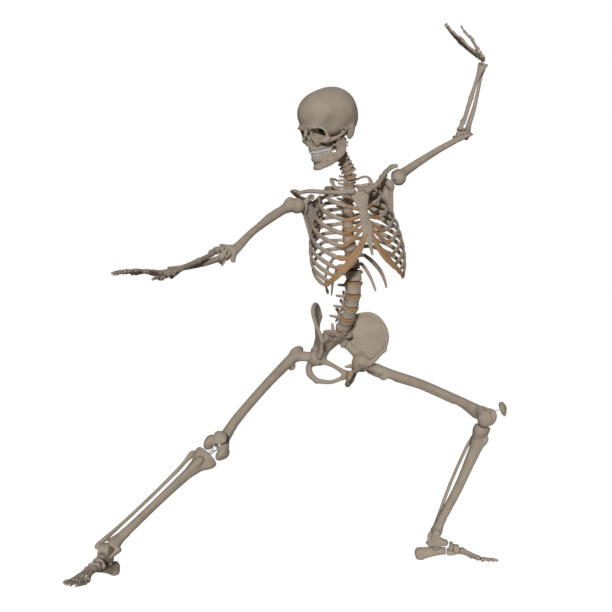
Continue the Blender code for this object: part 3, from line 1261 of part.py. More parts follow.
def make_arm(side):
    word, k = WORD[side], side
    humerus, ulna = frames[word + "_upper_arm"], frames[word + "_ulna"]
    stud = frames[word + "_shoulder_stud"]
    elbow = humerus.inverted() @ ulna
    bent = Matrix.Translation(elbow.translation)
    hinge = elbow.to_3x3().col[0].normalized()
    end = axes(hinge, Vector((0, 0, 1)).cross(hinge).normalized(),
               hinge.cross(Vector((0, 0, 1)).cross(hinge)).normalized(), elbow.translation)

    def build_humerus(bm):
        blob(bm, (k * 20, -4, -10), (14, 17, 20))
        tube(bm, smooth_path([(k * 10, 0, -16), (k * 13, 0, -48), (k * 11, 0, -0.36 * HUMERUS_LENGTH),
                              (k * 6, 0, -0.62 * HUMERUS_LENGTH), end @ Vector((0, 2, 48)),
                              end @ Vector((-k * 2, 3, 22))], 2),
             [(15, 15), (16, 16), 13.5, 12, 11.5, 11, 10.5, 10.5, (12, 10), (15, 9), (24, 7.5)],
             sides=12)
        tube(bm, [end @ Vector((-k * 6, 2, 26)), end @ Vector((-k * 32, 2, 6))], [(7, 9), (5, 6)],
             sides=8)
        tube(bm, [end @ Vector((k * 6, 2, 26)), end @ Vector((k * 26, 2, 14))], [(7, 9), (5, 5)],
             sides=8)
        rod(bm, end @ Vector((-k * 18, 0, 0)), end @ Vector((k * 18, 0, 0)), ELBOW_RADIUS - 3)
        rod(bm, end @ Vector((-k * 21, 0, 10)), end @ Vector((k * 20, 0, 10)), 7.5)

    def exact_ends(bm):
        blob(bm, (0, 0, 0), HUMERUS_HEAD, segments=16, rings=10)

    def trochlea(bm):
        rod(bm, end @ Vector((-k * 22, 0, 0)), end @ Vector((k * 21, 0, 0)), ELBOW_RADIUS, sides=18)

    def humerus_cuts(bm):
        head_slot(bm, humerus.inverted() @ stud, k, SHOULDER_SWEEP, HUMERUS_HEAD)

    lower = 17 - FOREARM_LENGTH

    def build_ulna(bm):
        path = smooth_path([(-k * 8, 12, 4), (-k * 8, 14, -14), (-k * 10, 8, -40),
                            (-k * 14, 8, -0.4 * FOREARM_LENGTH), (-k * 14, 4, -0.75 * FOREARM_LENGTH),
                            ULNA_HEAD[side] + Vector((0, 0, 2))], 2)
        tube(bm, path, [(9, 9), (10, 9), (11, 10), (9, 10), (8, 9), (7, 8), 6.5, 6, 5.5, 5.5, (8, 8)],
             sides=10)
        tube(bm, [(-k * 8, 2, -20), (-k * 8, -12, -13)], [(10, 8), (9, 5)], sides=8)

    def trochlear_notch(bm):
        rod(bm, (-60, 0, 0), (60, 0, 0), ELBOW_RADIUS + GAP, sides=26)

    def radius_room(bm):
        """Room for the radial head and for the radius to roll over the ulna."""
        head = RADIUS_HEAD[side]
        axis = (head - ULNA_HEAD[side]).normalized()
        rod(bm, head - axis * 8, head + axis * 8, 10.5 + GAP, sides=24)
        rod(bm, ULNA_HEAD[side] - axis * 30, ULNA_HEAD[side] - axis * 8, 40, sides=24)

    def build_radius(bm):
        head = RADIUS_HEAD[side]
        tube(bm, smooth_path([head, head + Vector((0, 0, -16)), (k * 16, -3, -50),
                              (k * 20, -2, -0.45 * FOREARM_LENGTH), (k * 17, 0, -0.75 * FOREARM_LENGTH),
                              (k * 11, 0, 26 - FOREARM_LENGTH), (k * 9, 0, 14 - FOREARM_LENGTH)], 2),
             [10, 8, 6.5, 7, 7.5, 7, 7, 7, 7.5, (9, 8), (12, 9), (15, 10), (17, 11)], sides=10)

    def radial_head(bm):
        head = RADIUS_HEAD[side]
        axis = (head - ULNA_HEAD[side]).normalized()
        rod(bm, head - axis * 6, head + axis * 5, 10.5, sides=22)

    def radius_cuts(bm):
        head = RADIUS_HEAD[side]
        up = (head - ULNA_HEAD[side]).normalized()
        rod(bm, head + up * 5, head + up * 40, 30, sides=16)
        blob(bm, WRIST_REST[side], WRIST_RADIUS + BALL_GAP, segments=16, rings=10)
        axis = (RADIUS_HEAD[side] - ULNA_HEAD[side]).normalized()
        rod(bm, ULNA_HEAD[side] - axis * 12, ULNA_HEAD[side] + axis * 20, 8.2 + GAP, sides=24)

    def ulna_turned(bm):
        axis = (RADIUS_HEAD[side] - ULNA_HEAD[side]).normalized()
        rod(bm, ULNA_HEAD[side] - axis * 5, ULNA_HEAD[side] + axis * 10, 8.2, sides=20)

    def build_palm(bm):
        blob(bm, (0, 0, -4), WRIST_RADIUS - 5, segments=12, rings=8)
        tube(bm, [(0, 0, -8), (0, 0, -22), (0, 0, -34)], [(22, 10), (23, 10), (22, 8)],
             reference=(0, 1, 0), sides=12)
        for name, (x, z, length, root_x, root_z) in FINGERS.items():
            tube(bm, [(k * root_x, 0, root_z), (k * (root_x + x) / 2, 2, (root_z + z) / 2),
                      (k * x, 0, z)], [6, 4.2, 4.4], sides=8)
        tube(bm, [(k * x, y, z) for x, y, z in (THUMB_ROOT, THUMB_KNUCKLE)], [7, 4.4], sides=8)

    def knuckles(bm):
        for name in (*FINGERS, "thumb"):
            blob(bm, knuckle(name, k), KNUCKLE_RADIUS, segments=8, rings=6)

    def carpal_ball(bm):
        blob(bm, (0, 0, 0), WRIST_RADIUS, segments=14, rings=9)

    def make_finger(name):
        root, tip = knuckle(name, k), fingertip(name, k)
        along = (tip - root).normalized()

        def build(bm):
            curve = smooth_path([root + along * 4, root.lerp(tip, 0.5) + Vector((0, 3, 0)), tip], 3)
            tube(bm, curve, [6, 4.2, 4.2, 5.0, 3.7, 4.2, 3.4], sides=7)

        def socket(bm):
            blob(bm, root, KNUCKLE_RADIUS + GAP, segments=12, rings=7)

        piece("%s_%s" % (word, name if name == "thumb" else name + "_finger"),
              "%s_%s" % (word, name), bone, build, cuts=(socket,))

    piece(word + "_humerus", word + "_upper_arm", bone, build_humerus, fused=(2.1, 1, 380),
          adds=(exact_ends, trochlea), cuts=(humerus_cuts,))
    piece(word + "_shoulder_stud", word + "_shoulder_stud", steel,
          lambda bm: build_stud(bm, k, HUMERUS_HEAD + 16), adds=(stud_pin,))
    piece(word + "_ulna", word + "_ulna", bone, build_ulna, fused=(1.9, 1, 280), adds=(ulna_turned,),
          cuts=(trochlear_notch, radius_room))
    piece(word + "_radius", word + "_radius", bone, build_radius, fused=(1.9, 1, 280),
          adds=(radial_head,), cuts=(radius_cuts,))
    piece(word + "_palm", word + "_hand", bone, build_palm, fused=(1.7, 1, 520),
          adds=(carpal_ball, knuckles))
    for name in (*FINGERS, "thumb"):
        make_finger(name)


# ---------------------------------------------------------------- assembly
def make_bodies():
    """One empty for each body, on its joint, under a single stand empty."""
    stand = bpy.data.objects.new("stand", None)
    bpy.context.scene.collection.objects.link(stand)
    for name, frame in frames.items():
        empty = bpy.data.objects.new("body_" + name, None)
        bpy.context.scene.collection.objects.link(empty)
        empty.empty_display_size = 0.02
        metres = frame.copy()
        metres.translation *= MM
        empty.parent = stand
        empty.matrix_local = metres
        bodies[name] = empty
    return stand


def stand_on_floor(stand):
    """Move the whole skeleton so that its box stands centred on the origin."""
    bpy.context.view_layer.update()
    points = [obj.matrix_world @ vert.co for obj in bpy.context.scene.objects
              if obj.type == "MESH" for vert in obj.data.vertices]
    low = [min(p[i] for p in points) for i in range(3)]
    high = [max(p[i] for p in points) for i in range(3)]
    stand.location = (-(low[0] + high[0]) / 2, -(low[1] + high[1]) / 2, -low[2])
    bpy.context.view_layer.update()


def main():
    global bone, cartilage, enamel, steel, torsions, spreads
    for obj in list(bpy.data.objects):
        bpy.data.objects.remove(obj)
    bone = material("bone", BONE, 0.6)
    cartilage = material("cartilage", CARTILAGE, 0.55)
    enamel = material("enamel", ENAMEL, 0.3)
    steel = material("steel", STEEL, 0.35, 1.0)
    posed, torsions, spreads = solve_pose()
    frames.update(posed)
    for side in (LEFT, RIGHT):
        word = WORD[side]
        scapula = frames["thorax"] @ scapula_frame(side)
        frames[word + "_shoulder_stud"] = shoulder_stud_frame(scapula, frames[word + "_upper_arm"])
        for name in (*FINGERS, "thumb"):
            frames["%s_%s" % (word, name)] = frames[word + "_hand"]
    stand = make_bodies()
    make_lumbar()
    make_thorax()
    make_neck()
    make_atlas()
    make_head()
    make_pelvis()
    for side in (LEFT, RIGHT):
        make_leg(side)
        make_arm(side)
    stand_on_floor(stand)


bone = cartilage = enamel = steel = None
frames, torsions, spreads, bodies = {}, {}, {}, {}
main()
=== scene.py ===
"""Human skeleton model in a wide lunge, bone by bone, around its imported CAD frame.

Bones are shaped in millimetres in the frame of the body that carries them: X to the
skeleton's left, Y to its back, Z up. Left-hand shapes are mirrored for the right.
"""
import json
import math

import bmesh
import bpy
import numpy as np
from mathutils import Matrix, Vector


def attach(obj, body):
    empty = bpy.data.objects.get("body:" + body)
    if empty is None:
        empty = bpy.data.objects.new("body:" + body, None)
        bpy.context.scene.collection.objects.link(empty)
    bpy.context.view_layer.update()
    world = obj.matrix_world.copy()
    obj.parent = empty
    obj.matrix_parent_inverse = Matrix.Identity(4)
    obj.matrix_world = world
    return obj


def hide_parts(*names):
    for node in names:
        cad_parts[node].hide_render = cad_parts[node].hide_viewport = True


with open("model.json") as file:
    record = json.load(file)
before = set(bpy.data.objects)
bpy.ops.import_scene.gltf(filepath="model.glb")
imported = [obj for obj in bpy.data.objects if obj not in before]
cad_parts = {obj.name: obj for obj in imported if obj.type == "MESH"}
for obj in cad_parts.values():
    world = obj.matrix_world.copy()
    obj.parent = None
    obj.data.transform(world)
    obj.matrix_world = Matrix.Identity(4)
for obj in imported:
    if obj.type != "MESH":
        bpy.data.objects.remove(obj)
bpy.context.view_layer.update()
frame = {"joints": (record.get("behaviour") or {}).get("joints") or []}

MM = 0.001
LEFT, RIGHT = 1, -1
WORD = {LEFT: "left", RIGHT: "right"}
COARSE = 1.12     # every surface grain is this many times coarser
FAR = 60.0                               # field value well outside every part


# ---------------------------------------------------------------- shaping bone
def soft_min(a, b, blend):
    """Smaller of two fields, rounded where they cross."""
    if blend <= 0:
        return np.minimum(a, b)
    share = np.maximum(blend - np.abs(a - b), 0) / blend
    return np.minimum(a, b) - share * share * (blend * 0.25)


def rounded(radii):
    return radii if hasattr(radii, "__len__") else (radii,) * 3


def ellipse_distance(parts):
    """Distance to an ellipsoid from (component, radius) pairs along its axes."""
    near = sum((part / radius) ** 2 for part, radius in parts)
    steep = sum((part / (radius * radius)) ** 2 for part, radius in parts)
    near, steep = np.sqrt(near), np.sqrt(steep)
    least = min(float(np.min(radius)) for _, radius in parts)
    return (near - 1) * (near + 1e-5) / (steep + 1e-5 / least)


def lump(centre, radii, turn=None):
    """Ellipsoid."""
    c, r = np.array(centre, float), np.array(rounded(radii), float)
    m = np.array(turn.to_3x3() if turn else Matrix.Identity(3))
    reach = np.abs(m) @ r

    def distance(x, y, z):
        u, v, w = x - c[0], y - c[1], z - c[2]
        if turn is None:
            return ellipse_distance([(u, r[0]), (v, r[1]), (w, r[2])])
        return ellipse_distance([(m[0, i] * u + m[1, i] * v + m[2, i] * w, r[i])
                                 for i in range(3)])
    return c - reach, c + reach, distance


def link(a, b, ends):
    """One tapering length of a limb; ends hold (side, up, (across, along up))."""
    a, b = np.array(a, float), np.array(b, float)
    run = b - a
    square = max(float(run @ run), 1e-6)
    (side_a, up_a, ra), (side_b, up_b, rb) = ends
    round_link = ra[0] == ra[1] and rb[0] == rb[1]
    reach = max(*ra, *rb)

    def distance(x, y, z):
        px, py, pz = x - a[0], y - a[1], z - a[2]
        t = np.clip((px * run[0] + py * run[1] + pz * run[2]) / square, 0, 1)
        q = (px - t * run[0], py - t * run[1], pz - t * run[2])
        if round_link:
            return np.sqrt(q[0] ** 2 + q[1] ** 2 + q[2] ** 2) - (ra[0] + t * (rb[0] - ra[0]))
        wide, tall = ra[0] + t * (rb[0] - ra[0]), ra[1] + t * (rb[1] - ra[1])
        u = sum(q[i] * (side_a[i] + t * (side_b[i] - side_a[i])) for i in range(3))
        v = sum(q[i] * (up_a[i] + t * (up_b[i] - up_a[i])) for i in range(3))
        w = sum(q[i] * run[i] for i in range(3)) / math.sqrt(square)
        return ellipse_distance([(u, wide), (v, tall), (w, np.minimum(wide, tall))])
    return np.minimum(a, b) - reach, np.maximum(a, b) + reach, distance


def path_sides(path, reference):
    """(side, up) at each point of a path; up leans towards the reference."""
    out = []
    for i in range(len(path)):
        along = (path[min(i + 1, len(path) - 1)] - path[max(i - 1, 0)]).normalized()
        side = along.cross(reference)
        side = side.normalized() if side.length > 1e-4 else along.orthogonal().normalized()
        out.append((side, side.cross(along).normalized()))
    return out


def curve_point(a, b, c, d, t):
    """Point at t between b and c, on the curve that runs on from a and towards d."""
    return 0.5 * ((2 * b) + (c - a) * t + (2 * a - 5 * b + 4 * c - d) * t * t
                  + (3 * b - a - 3 * c + d) * t ** 3)


def smooth_path(points, steps=4):
    """Curve through the points."""
    points = [Vector(p) for p in points]
    padded = [points[0] * 2 - points[1], *points, points[-1] * 2 - points[-2]]
    fours = zip(padded, padded[1:], padded[2:], padded[3:])
    out = [curve_point(*four, i / steps) for four in fours for i in range(steps)]
    return [*out, points[-1]]


def limb(points, radii, reference=(0, 0, 1), steps=1):
    """Tapering rod along points. A radius is one number or (across, along reference)."""
    pairs = [r if isinstance(r, (tuple, list)) else (r, r) for r in radii]
    path = [Vector(p) for p in points]
    if steps > 1:
        sizes = smooth_path([(r[0], r[1], 0) for r in pairs], steps)
        path, pairs = smooth_path(path, steps), [(max(s.x, 0.5), max(s.y, 0.5)) for s in sizes]
    sides = path_sides(path, Vector(reference))
    links = []
    for i in range(len(path) - 1):
        links.append(link(path[i], path[i + 1], [(*sides[i], pairs[i]),
                                                 (*sides[i + 1], pairs[i + 1])]))
    low = np.min([part[0] for part in links], axis=0)
    high = np.max([part[1] for part in links], axis=0)
    return low, high, links


def bore(start, end, radius):
    """Straight round bar with flat ends."""
    a, b = np.array(start, float), np.array(end, float)
    run = b - a
    length = float(np.linalg.norm(run))
    run = run / length

    def distance(x, y, z):
        px, py, pz = x - a[0], y - a[1], z - a[2]
        w = px * run[0] + py * run[1] + pz * run[2]
        off = np.sqrt(np.maximum(px * px + py * py + pz * pz - w * w, 0))
        return np.maximum(off - radius, np.abs(w - length / 2) - length / 2)
    return np.minimum(a, b) - radius, np.maximum(a, b) + radius, distance


def brick(low, high, soft=1.0, place=None):
    """Box with soft edges, in a frame of its own where one is given."""
    low, high = np.min([low, high], axis=0).astype(float), np.max([low, high], axis=0)
    middle, half = (low + high) / 2, (high - low) / 2 - soft
    back = np.array((place or Matrix()).inverted())
    corners = [(place or Matrix()) @ Vector((x, y, z)) for x in (low[0], high[0])
               for y in (low[1], high[1]) for z in (low[2], high[2])]

    def distance(x, y, z):
        q = [np.abs(back[i, 0] * x + back[i, 1] * y + back[i, 2] * z + back[i, 3] - middle[i])
             - half[i] for i in range(3)]
        outside = np.sqrt(sum(np.maximum(part, 0) ** 2 for part in q))
        return outside + np.minimum(np.maximum(np.maximum(q[0], q[1]), q[2]), 0) - soft
    return np.min(corners, axis=0), np.max(corners, axis=0), distance


def beyond(point, inward):
    """Everything past a plane; inward points to what stays."""
    p, n = np.array(point, float), np.array(Vector(inward).normalized())

    def distance(x, y, z):
        return (x - p[0]) * n[0] + (y - p[1]) * n[1] + (z - p[2]) * n[2]
    return np.full(3, -1e3), np.full(3, 1e3), distance


def puck(wide, deep, tall, waist=0.1):
    """Body of a vertebra: an oval drum with a waist, flatter behind."""
    reach = np.full(3, float(max(wide, deep, tall)))

    def distance(x, y, z):
        pinch = 1 - waist * np.clip(1 - (2 * z / tall) ** 2, 0, 1)
        flat = np.where(y > 0, 0.8, 1.0)
        off = np.sqrt((x / wide) ** 2 + (y / (deep * flat)) ** 2)
        return -soft_min(-(off - pinch) * min(wide, deep), tall / 2 - np.abs(z), 2.5)
    return -reach, reach, distance


def sector(axis, middle, spread, radius, width):
    """Flat wedge about an axis through the origin."""
    n = Vector(axis).normalized()
    m = Vector(middle)
    m = (m - n * m.dot(n)).normalized()
    edges = [Matrix.Rotation(math.radians(s * (spread - 90)), 3, n) @ m for s in (1, -1)]

    def distance(x, y, z):
        def along(d):
            return x * d.x + y * d.y + z * d.z
        out = np.maximum(np.abs(along(n)) - width / 2, np.sqrt(x * x + y * y + z * z) - radius)
        for edge in edges:
            out = np.maximum(out, -along(edge) - width / 2)
        return out
    return np.full(3, -radius), np.full(3, radius), distance


def ring_of(points, steps=5):
    """Smooth closed loop through 2-D points."""
    n, out = len(points), []
    for i in range(n):
        corners = [np.array(points[(i + j) % n]) for j in (-1, 0, 1, 2)]
        out += [curve_point(*corners, s / steps) for s in range(steps)]
    return np.array(out)


def outline_map(loop, step=1.0, margin=14):
    """Signed distance to a closed loop on a flat grid, with a function that reads it."""
    low = loop.min(0) - margin
    count = np.ceil((loop.max(0) + margin - low) / step).astype(int) + 2
    u = (low[0] + step * np.arange(count[0]))[:, None]
    v = (low[1] + step * np.arange(count[1]))[None, :]
    best, inside = np.full(count, 1e9), np.zeros(count, bool)
    for a, b in zip(loop, np.roll(loop, -1, 0)):
        e = b - a
        t = np.clip(((u - a[0]) * e[0] + (v - a[1]) * e[1]) / max(e @ e, 1e-9), 0, 1)
        best = np.minimum(best, (u - a[0] - t * e[0]) ** 2 + (v - a[1] - t * e[1]) ** 2)
        if a[1] != b[1]:
            hits = (a[1] > v) != (b[1] > v)
            inside ^= hits & (u < (b[0] - a[0]) * (v - a[1]) / (b[1] - a[1]) + a[0])
    table = np.sqrt(best) * np.where(inside, -1, 1)

    def read(p, q):
        i = np.clip((p - low[0]) / step, 0, count[0] - 1.001)
        j = np.clip((q - low[1]) / step, 0, count[1] - 1.001)
        a, b = i.astype(int), j.astype(int)
        f, g = i - a, j - b
        return ((table[a, b] * (1 - f) + table[a + 1, b] * f) * (1 - g)
                + (table[a, b + 1] * (1 - f) + table[a + 1, b + 1] * f) * g)
    return read


def blade(outline, spots, normal, up, thick, rim=0.0, rim_width=7.0):
    """Curved plate. The outline and spots lie on its middle surface."""
    n = Vector(normal).normalized()
    v = Vector(up)
    v = (v - n * n.dot(v)).normalized()
    u = v.cross(n)
    every = [Vector(p) for p in (*outline, *spots)]
    flat = np.array([(u.dot(p), v.dot(p), n.dot(p)) for p in every])
    loop = ring_of(flat[:len(outline), :2])
    mid, scale = flat[:, :2].mean(0), 50.0

    def terms(p, q):
        p, q = (p - mid[0]) / scale, (q - mid[1]) / scale
        return [p * 0 + 1, p, q, p * p, p * q, q * q, p ** 3, p * p * q, p * q * q, q ** 3]
    table = np.stack(terms(flat[:, 0], flat[:, 1]), axis=1)
    soft = np.vstack([table, 0.05 * np.eye(10)])
    fit = np.linalg.lstsq(soft, np.append(flat[:, 2], np.zeros(10)), rcond=None)[0]
    edge = outline_map(loop)
    world = np.array([list(p) for p in every])

    def lift(p, q):
        return sum(c * term for c, term in zip(fit, terms(p, q)))

    def distance(x, y, z):
        p, q, h = (x * d.x + y * d.y + z * d.z for d in (u, v, n))
        base = lift(p, q)
        slope = 1 / np.sqrt(1 + (lift(p + 1, q) - base) ** 2 + (lift(p, q + 1) - base) ** 2)
        out = edge(p, q)
        half = thick / 2 + rim * np.exp(-(out / rim_width) ** 2)
        return np.hypot(np.maximum(out + half, 0), np.abs(h - base) * slope) - half
    reach = thick + rim + 4
    return world.min(0) - reach, world.max(0) + reach, distance


class Shape:
    """Bone pressed together from soft lumps, then carved."""

    def __init__(self):
        self.steps = []

    def add(self, *parts, blend=4.0):
        self.steps += [(part, blend, True) for part in parts]
        return self

    def cut(self, *parts, blend=1.5):
        self.steps += [(part, blend, False) for part in parts]
        return self

    def skin(self, grain, smooth=1, coarse=COARSE):
        """Corners and four-sided faces of the surface."""
        grain = grain * coarse
        solid = [part for part, _, adds in self.steps if adds]
        swell = max(blend for _, blend, adds in self.steps if adds) / 3 + 3 * grain
        low = np.min([part[0] for part in solid], axis=0) - swell
        high = np.max([part[1] for part in solid], axis=0) + swell
        count = np.ceil((high - low) / grain).astype(int) + 1
        field = np.full(count, FAR, np.float32)
        for part, blend, adds in self.steps:
            stamp(field, low, grain, part, blend, adds)
        return relax(*wrap(field, low, grain), smooth)


def window(shape, low, grain, part, margin):
    """The block of the field that a part can reach, as slices, its grid and whether any is left."""
    first = np.clip(np.floor((part[0] - margin - low) / grain).astype(int), 0, shape)
    last = np.clip(np.ceil((part[1] + margin - low) / grain).astype(int) + 1, 0, shape)
    slices = tuple(slice(a, b) for a, b in zip(first, last))
    grids = [low[i] + grain * np.arange(first[i], last[i]) for i in range(3)]
    x, y, z = (grids[i].reshape([-1 if i == j else 1 for j in range(3)]) for i in range(3))
    return slices, x, y, z, all(last > first)


def stamp(field, low, grain, part, blend, adds):
    """Press one part into the field, or carve it out."""
    margin = blend + 3 * grain
    slices, x, y, z, some = window(field.shape, low, grain, part, margin)
    if not some:
        return
    old = field[slices]
    if callable(part[2]):
        new = np.broadcast_to(part[2](x, y, z), old.shape)
    else:
        new = np.full(old.shape, FAR, np.float32)
        origin = np.array([x.flat[0], y.flat[0], z.flat[0]])
        for piece_of in part[2]:
            inner, xs, ys, zs, some = window(new.shape, origin, grain, piece_of, margin)
            if some:
                new[inner] = np.minimum(new[inner], piece_of[2](xs, ys, zs))
    field[slices] = soft_min(old, new, blend) if adds else -soft_min(-old, new, blend)


# the twelve edges of a cell, each as its start corner and its direction
EDGES = [((0, 0, 0), d) for d in range(3)]
EDGES += [(c, d) for d in range(3) for c in ((0, 1, 1), (1, 0, 1), (1, 1, 0)) if c[d] == 0]
EDGES += [(tuple(int(i == e) for i in range(3)), d) for d in range(3) for e in range(3) if e != d]


def wrap(field, low, grain):
    """Four-sided faces round everything below zero, one corner in each crossed cell."""
    inside = field < 0
    cells = tuple(s - 1 for s in field.shape)

    def corner(values, offset):
        return values[tuple(slice(o, o + c) for o, c in zip(offset, cells))]
    total = sum(corner(inside, (i, j, k)).astype(np.int8)
                for i in (0, 1) for j in (0, 1) for k in (0, 1))
    active = (total > 0) & (total < 8)
    number = np.full(cells, -1)
    number[active] = np.arange(int(active.sum()))
    place = np.argwhere(active).astype(float)
    total, hits = np.zeros_like(place), np.zeros(len(place))
    for start, axis in EDGES:
        end = tuple(s + int(i == axis) for i, s in enumerate(start))
        a, b = corner(field, start)[active], corner(field, end)[active]
        crossed = (a < 0) != (b < 0)
        t = a[crossed] / (a[crossed] - b[crossed])
        point = np.tile(np.array(start, float), (len(t), 1))
        point[:, axis] += t
        total[crossed] += point
        hits[crossed] += 1
    corners = low + (place + total / hits[:, None]) * grain
    faces = []
    for axis in range(3):
        one, two = [i for i in range(3) if i != axis]
        inner = [slice(1, -1)] * 3
        inner[axis] = slice(0, -1)
        ahead = list(inner)
        ahead[axis] = slice(1, None)
        a, b = inside[tuple(inner)], inside[tuple(ahead)]
        for change, flip in ((a & ~b, axis == 1), (~a & b, axis != 1)):
            at = np.argwhere(change)
            at[:, one] += 1
            at[:, two] += 1
            quad = []
            for p, q in ((0, 0), (1, 0), (1, 1), (0, 1)):
                cell = at.copy()
                cell[:, one] -= 1 - p
                cell[:, two] -= 1 - q
                quad.append(number[tuple(cell.T)])
            quad = np.stack(quad[::-1] if flip else quad, axis=1)
            faces.append(quad)
    return corners, np.concatenate(faces)


def relax(corners, faces, rounds):
    """Even out the corners a little."""
    pairs = np.concatenate([faces[:, [i, (i + 1) % 4]] for i in range(4)])
    ends = np.concatenate([pairs, pairs[:, ::-1]])
    share = np.bincount(ends[:, 0], minlength=len(corners))[:, None]
    for _ in range(rounds):
        mean = np.stack([np.bincount(ends[:, 0], corners[ends[:, 1], i], len(corners))
                         for i in range(3)], axis=1) / share
        corners = corners * 0.4 + mean * 0.6
    return corners, faces


# ---------------------------------------------------------------- placing bone
def sided(skin, k):
    """A left-hand skin as it is, or mirrored for the right."""
    corners, faces = skin
    return skin if k == LEFT else (corners * np.array([-1, 1, 1]), faces[:, ::-1])


def bone_piece(name, body, skins, place=None, nodes=None, slot="bone"):
    """One named piece from closed skins, seen in its body's frame unless place says otherwise."""
    place = place or frames[body]
    corners, faces, count = [], [], 0
    turn, shift = np.array(place.to_3x3()), np.array(place.translation)
    for points, quads in skins:
        corners.append((points @ turn.T + shift) * MM)
        faces.append(quads + count)
        count += len(points)
    corners, faces = np.concatenate(corners), np.concatenate(faces)
    mesh = bpy.data.meshes.new(name)
    mesh.vertices.add(len(corners))
    mesh.vertices.foreach_set("co", corners.astype(np.float32).ravel())
    mesh.loops.add(faces.size)
    mesh.loops.foreach_set("vertex_index", faces.astype(np.int32).ravel())
    mesh.polygons.add(len(faces))
    mesh.polygons.foreach_set("loop_start", np.arange(0, faces.size, 4, dtype=np.int32))
    mesh.update(calc_edges=True)
    mesh.validate()
    return mount(name, mesh, body, nodes, slot)


def mount(name, mesh, body, nodes=None, slot="bone"):
    """Show a mesh as a piece on a body, for the CAD nodes given or the one of its own name."""
    mesh.materials.clear()
    mesh.materials.append(FINISHES[slot])
    mesh.polygons.foreach_set("use_smooth", np.ones(len(mesh.polygons), bool))
    obj = bpy.data.objects.new(name, mesh)
    bpy.context.scene.collection.objects.link(obj)
    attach(obj, body)
    nodes = [name] if nodes is None else nodes
    if nodes:
        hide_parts(*nodes)
    return obj


def turned(x=0.0, y=0.0, z=0.0):
    return (Matrix.Rotation(math.radians(x), 4, "X") @ Matrix.Rotation(math.radians(y), 4, "Y")
            @ Matrix.Rotation(math.radians(z), 4, "Z"))


def moved(x, y, z):
    return Matrix.Translation((x, y, z))


def mirror_point(p, k):
    return Vector((k * p[0], p[1], p[2]))


def mirror(k):
    return Matrix.Diagonal((k, 1, 1, 1))


def in_metres(place):
    return Matrix.Diagonal((MM, MM, MM, 1)) @ place


# ---------------------------------------------------------------- frames from the joints
joint_table = {j["name"]: j for j in frame["joints"]}


def joint_place(name):
    """Where a joint is in the row frame, in millimetres."""
    return Vector(joint_table[name]["pos_m"]) / MM


def joint_axis(name):
    return Vector(joint_table[name]["axis"]).normalized()


def basis(axis, toward):
    """Square frame: its X along the axis, its Y as near toward as it can be."""
    axis = Vector(axis).normalized()
    toward = Vector(toward)
    square = (toward - axis * axis.dot(toward)).normalized()
    return Matrix((axis, square, axis.cross(square))).transposed()


def settle(anchor, local_anchor, axis, local_axis, toward, local_toward):
    """Frame that puts a local anchor, axis and direction on their places in the row frame."""
    turn = basis(axis, toward) @ basis(local_axis, local_toward).transposed()
    place = turn.to_4x4()
    place.translation = Vector(anchor) - turn @ Vector(local_anchor)
    return place


# the next joint up, or down in a limb, seen from the joint that a body hangs on
WAIST, JAW_HINGE = (0, 28, 100), (0, -12, 22)
LUMBAR_TALL, THORAX_TALL, NECK_TALL = 180, 272, 105
FEMUR, TIBIA = 415, 390
RADIUS_HEAD, ULNA_HEAD = (13, 0, -18), (-15, 2, -237)
WRIST, MIDDLE_KNUCKLE = (8, 0, -250), (7, 0, -93)


def pelvis_frame():
    left, right = joint_place("left_hip_swing"), joint_place("right_hip_swing")
    middle, waist = (left + right) / 2, joint_place("waist_bend")
    return settle(middle, (0, 0, 0), left - right, (1, 0, 0), waist - middle, WAIST)


def trunk_frames():
    """Frames of the bodies from the pelvis up to the jaw."""
    pelvis, waist, twist = pelvis_frame(), joint_place("waist_bend"), joint_place("waist_twist")
    lumbar = settle(waist, (0, 0, 0), joint_axis("waist_bend"), (1, 0, 0), twist - waist,
                    (0, 5, LUMBAR_TALL))
    neck_at, turn_at, nod_at = (joint_place(n) for n in ("neck_bend", "head_turn", "head_nod"))
    thorax = settle(twist, (0, 0, 0), joint_axis("waist_twist"), (0, 0, 1), neck_at - twist,
                    (0, -20, THORAX_TALL))
    neck = settle(neck_at, (0, 0, 0), joint_axis("head_turn"), (0, 0, 1), turn_at - neck_at,
                  (0, -12, NECK_TALL))
    atlas = neck @ moved(0, -12, NECK_TALL) @ turned(z=-40)
    jaw_at = joint_place("jaw_open")
    head = settle(nod_at, (0, 0, 0), joint_axis("head_nod"), (1, 0, 0), jaw_at - nod_at,
                  JAW_HINGE)
    return {"pelvis": pelvis, "lumbar": lumbar, "thorax": thorax, "neck": neck, "atlas": atlas,
            "head": head, "jaw": head @ moved(*JAW_HINGE)}


def leg_frames(word):
    """Frames of one leg's bodies, from the hip down."""
    hip, knee, ankle = (joint_place(word + n) for n in ("_hip_swing", "_knee_bend", "_ankle_bend"))
    across = joint_axis(word + "_knee_bend")
    thigh = settle(hip, (0, 0, 0), across, (1, 0, 0), knee - hip, (0, 0, -FEMUR))
    shin = settle(knee, (0, 0, 0), across, (1, 0, 0), ankle - knee, (0, 0, -TIBIA))
    foot = settle(ankle, (0, 0, 0), joint_axis(word + "_foot_tilt"), (0, 1, 0), (0, 0, 1),
                  (0, 0, 1))
    return {word + "_thigh": thigh, word + "_shin": shin, word + "_foot": foot,
            word + "_talus": foot}


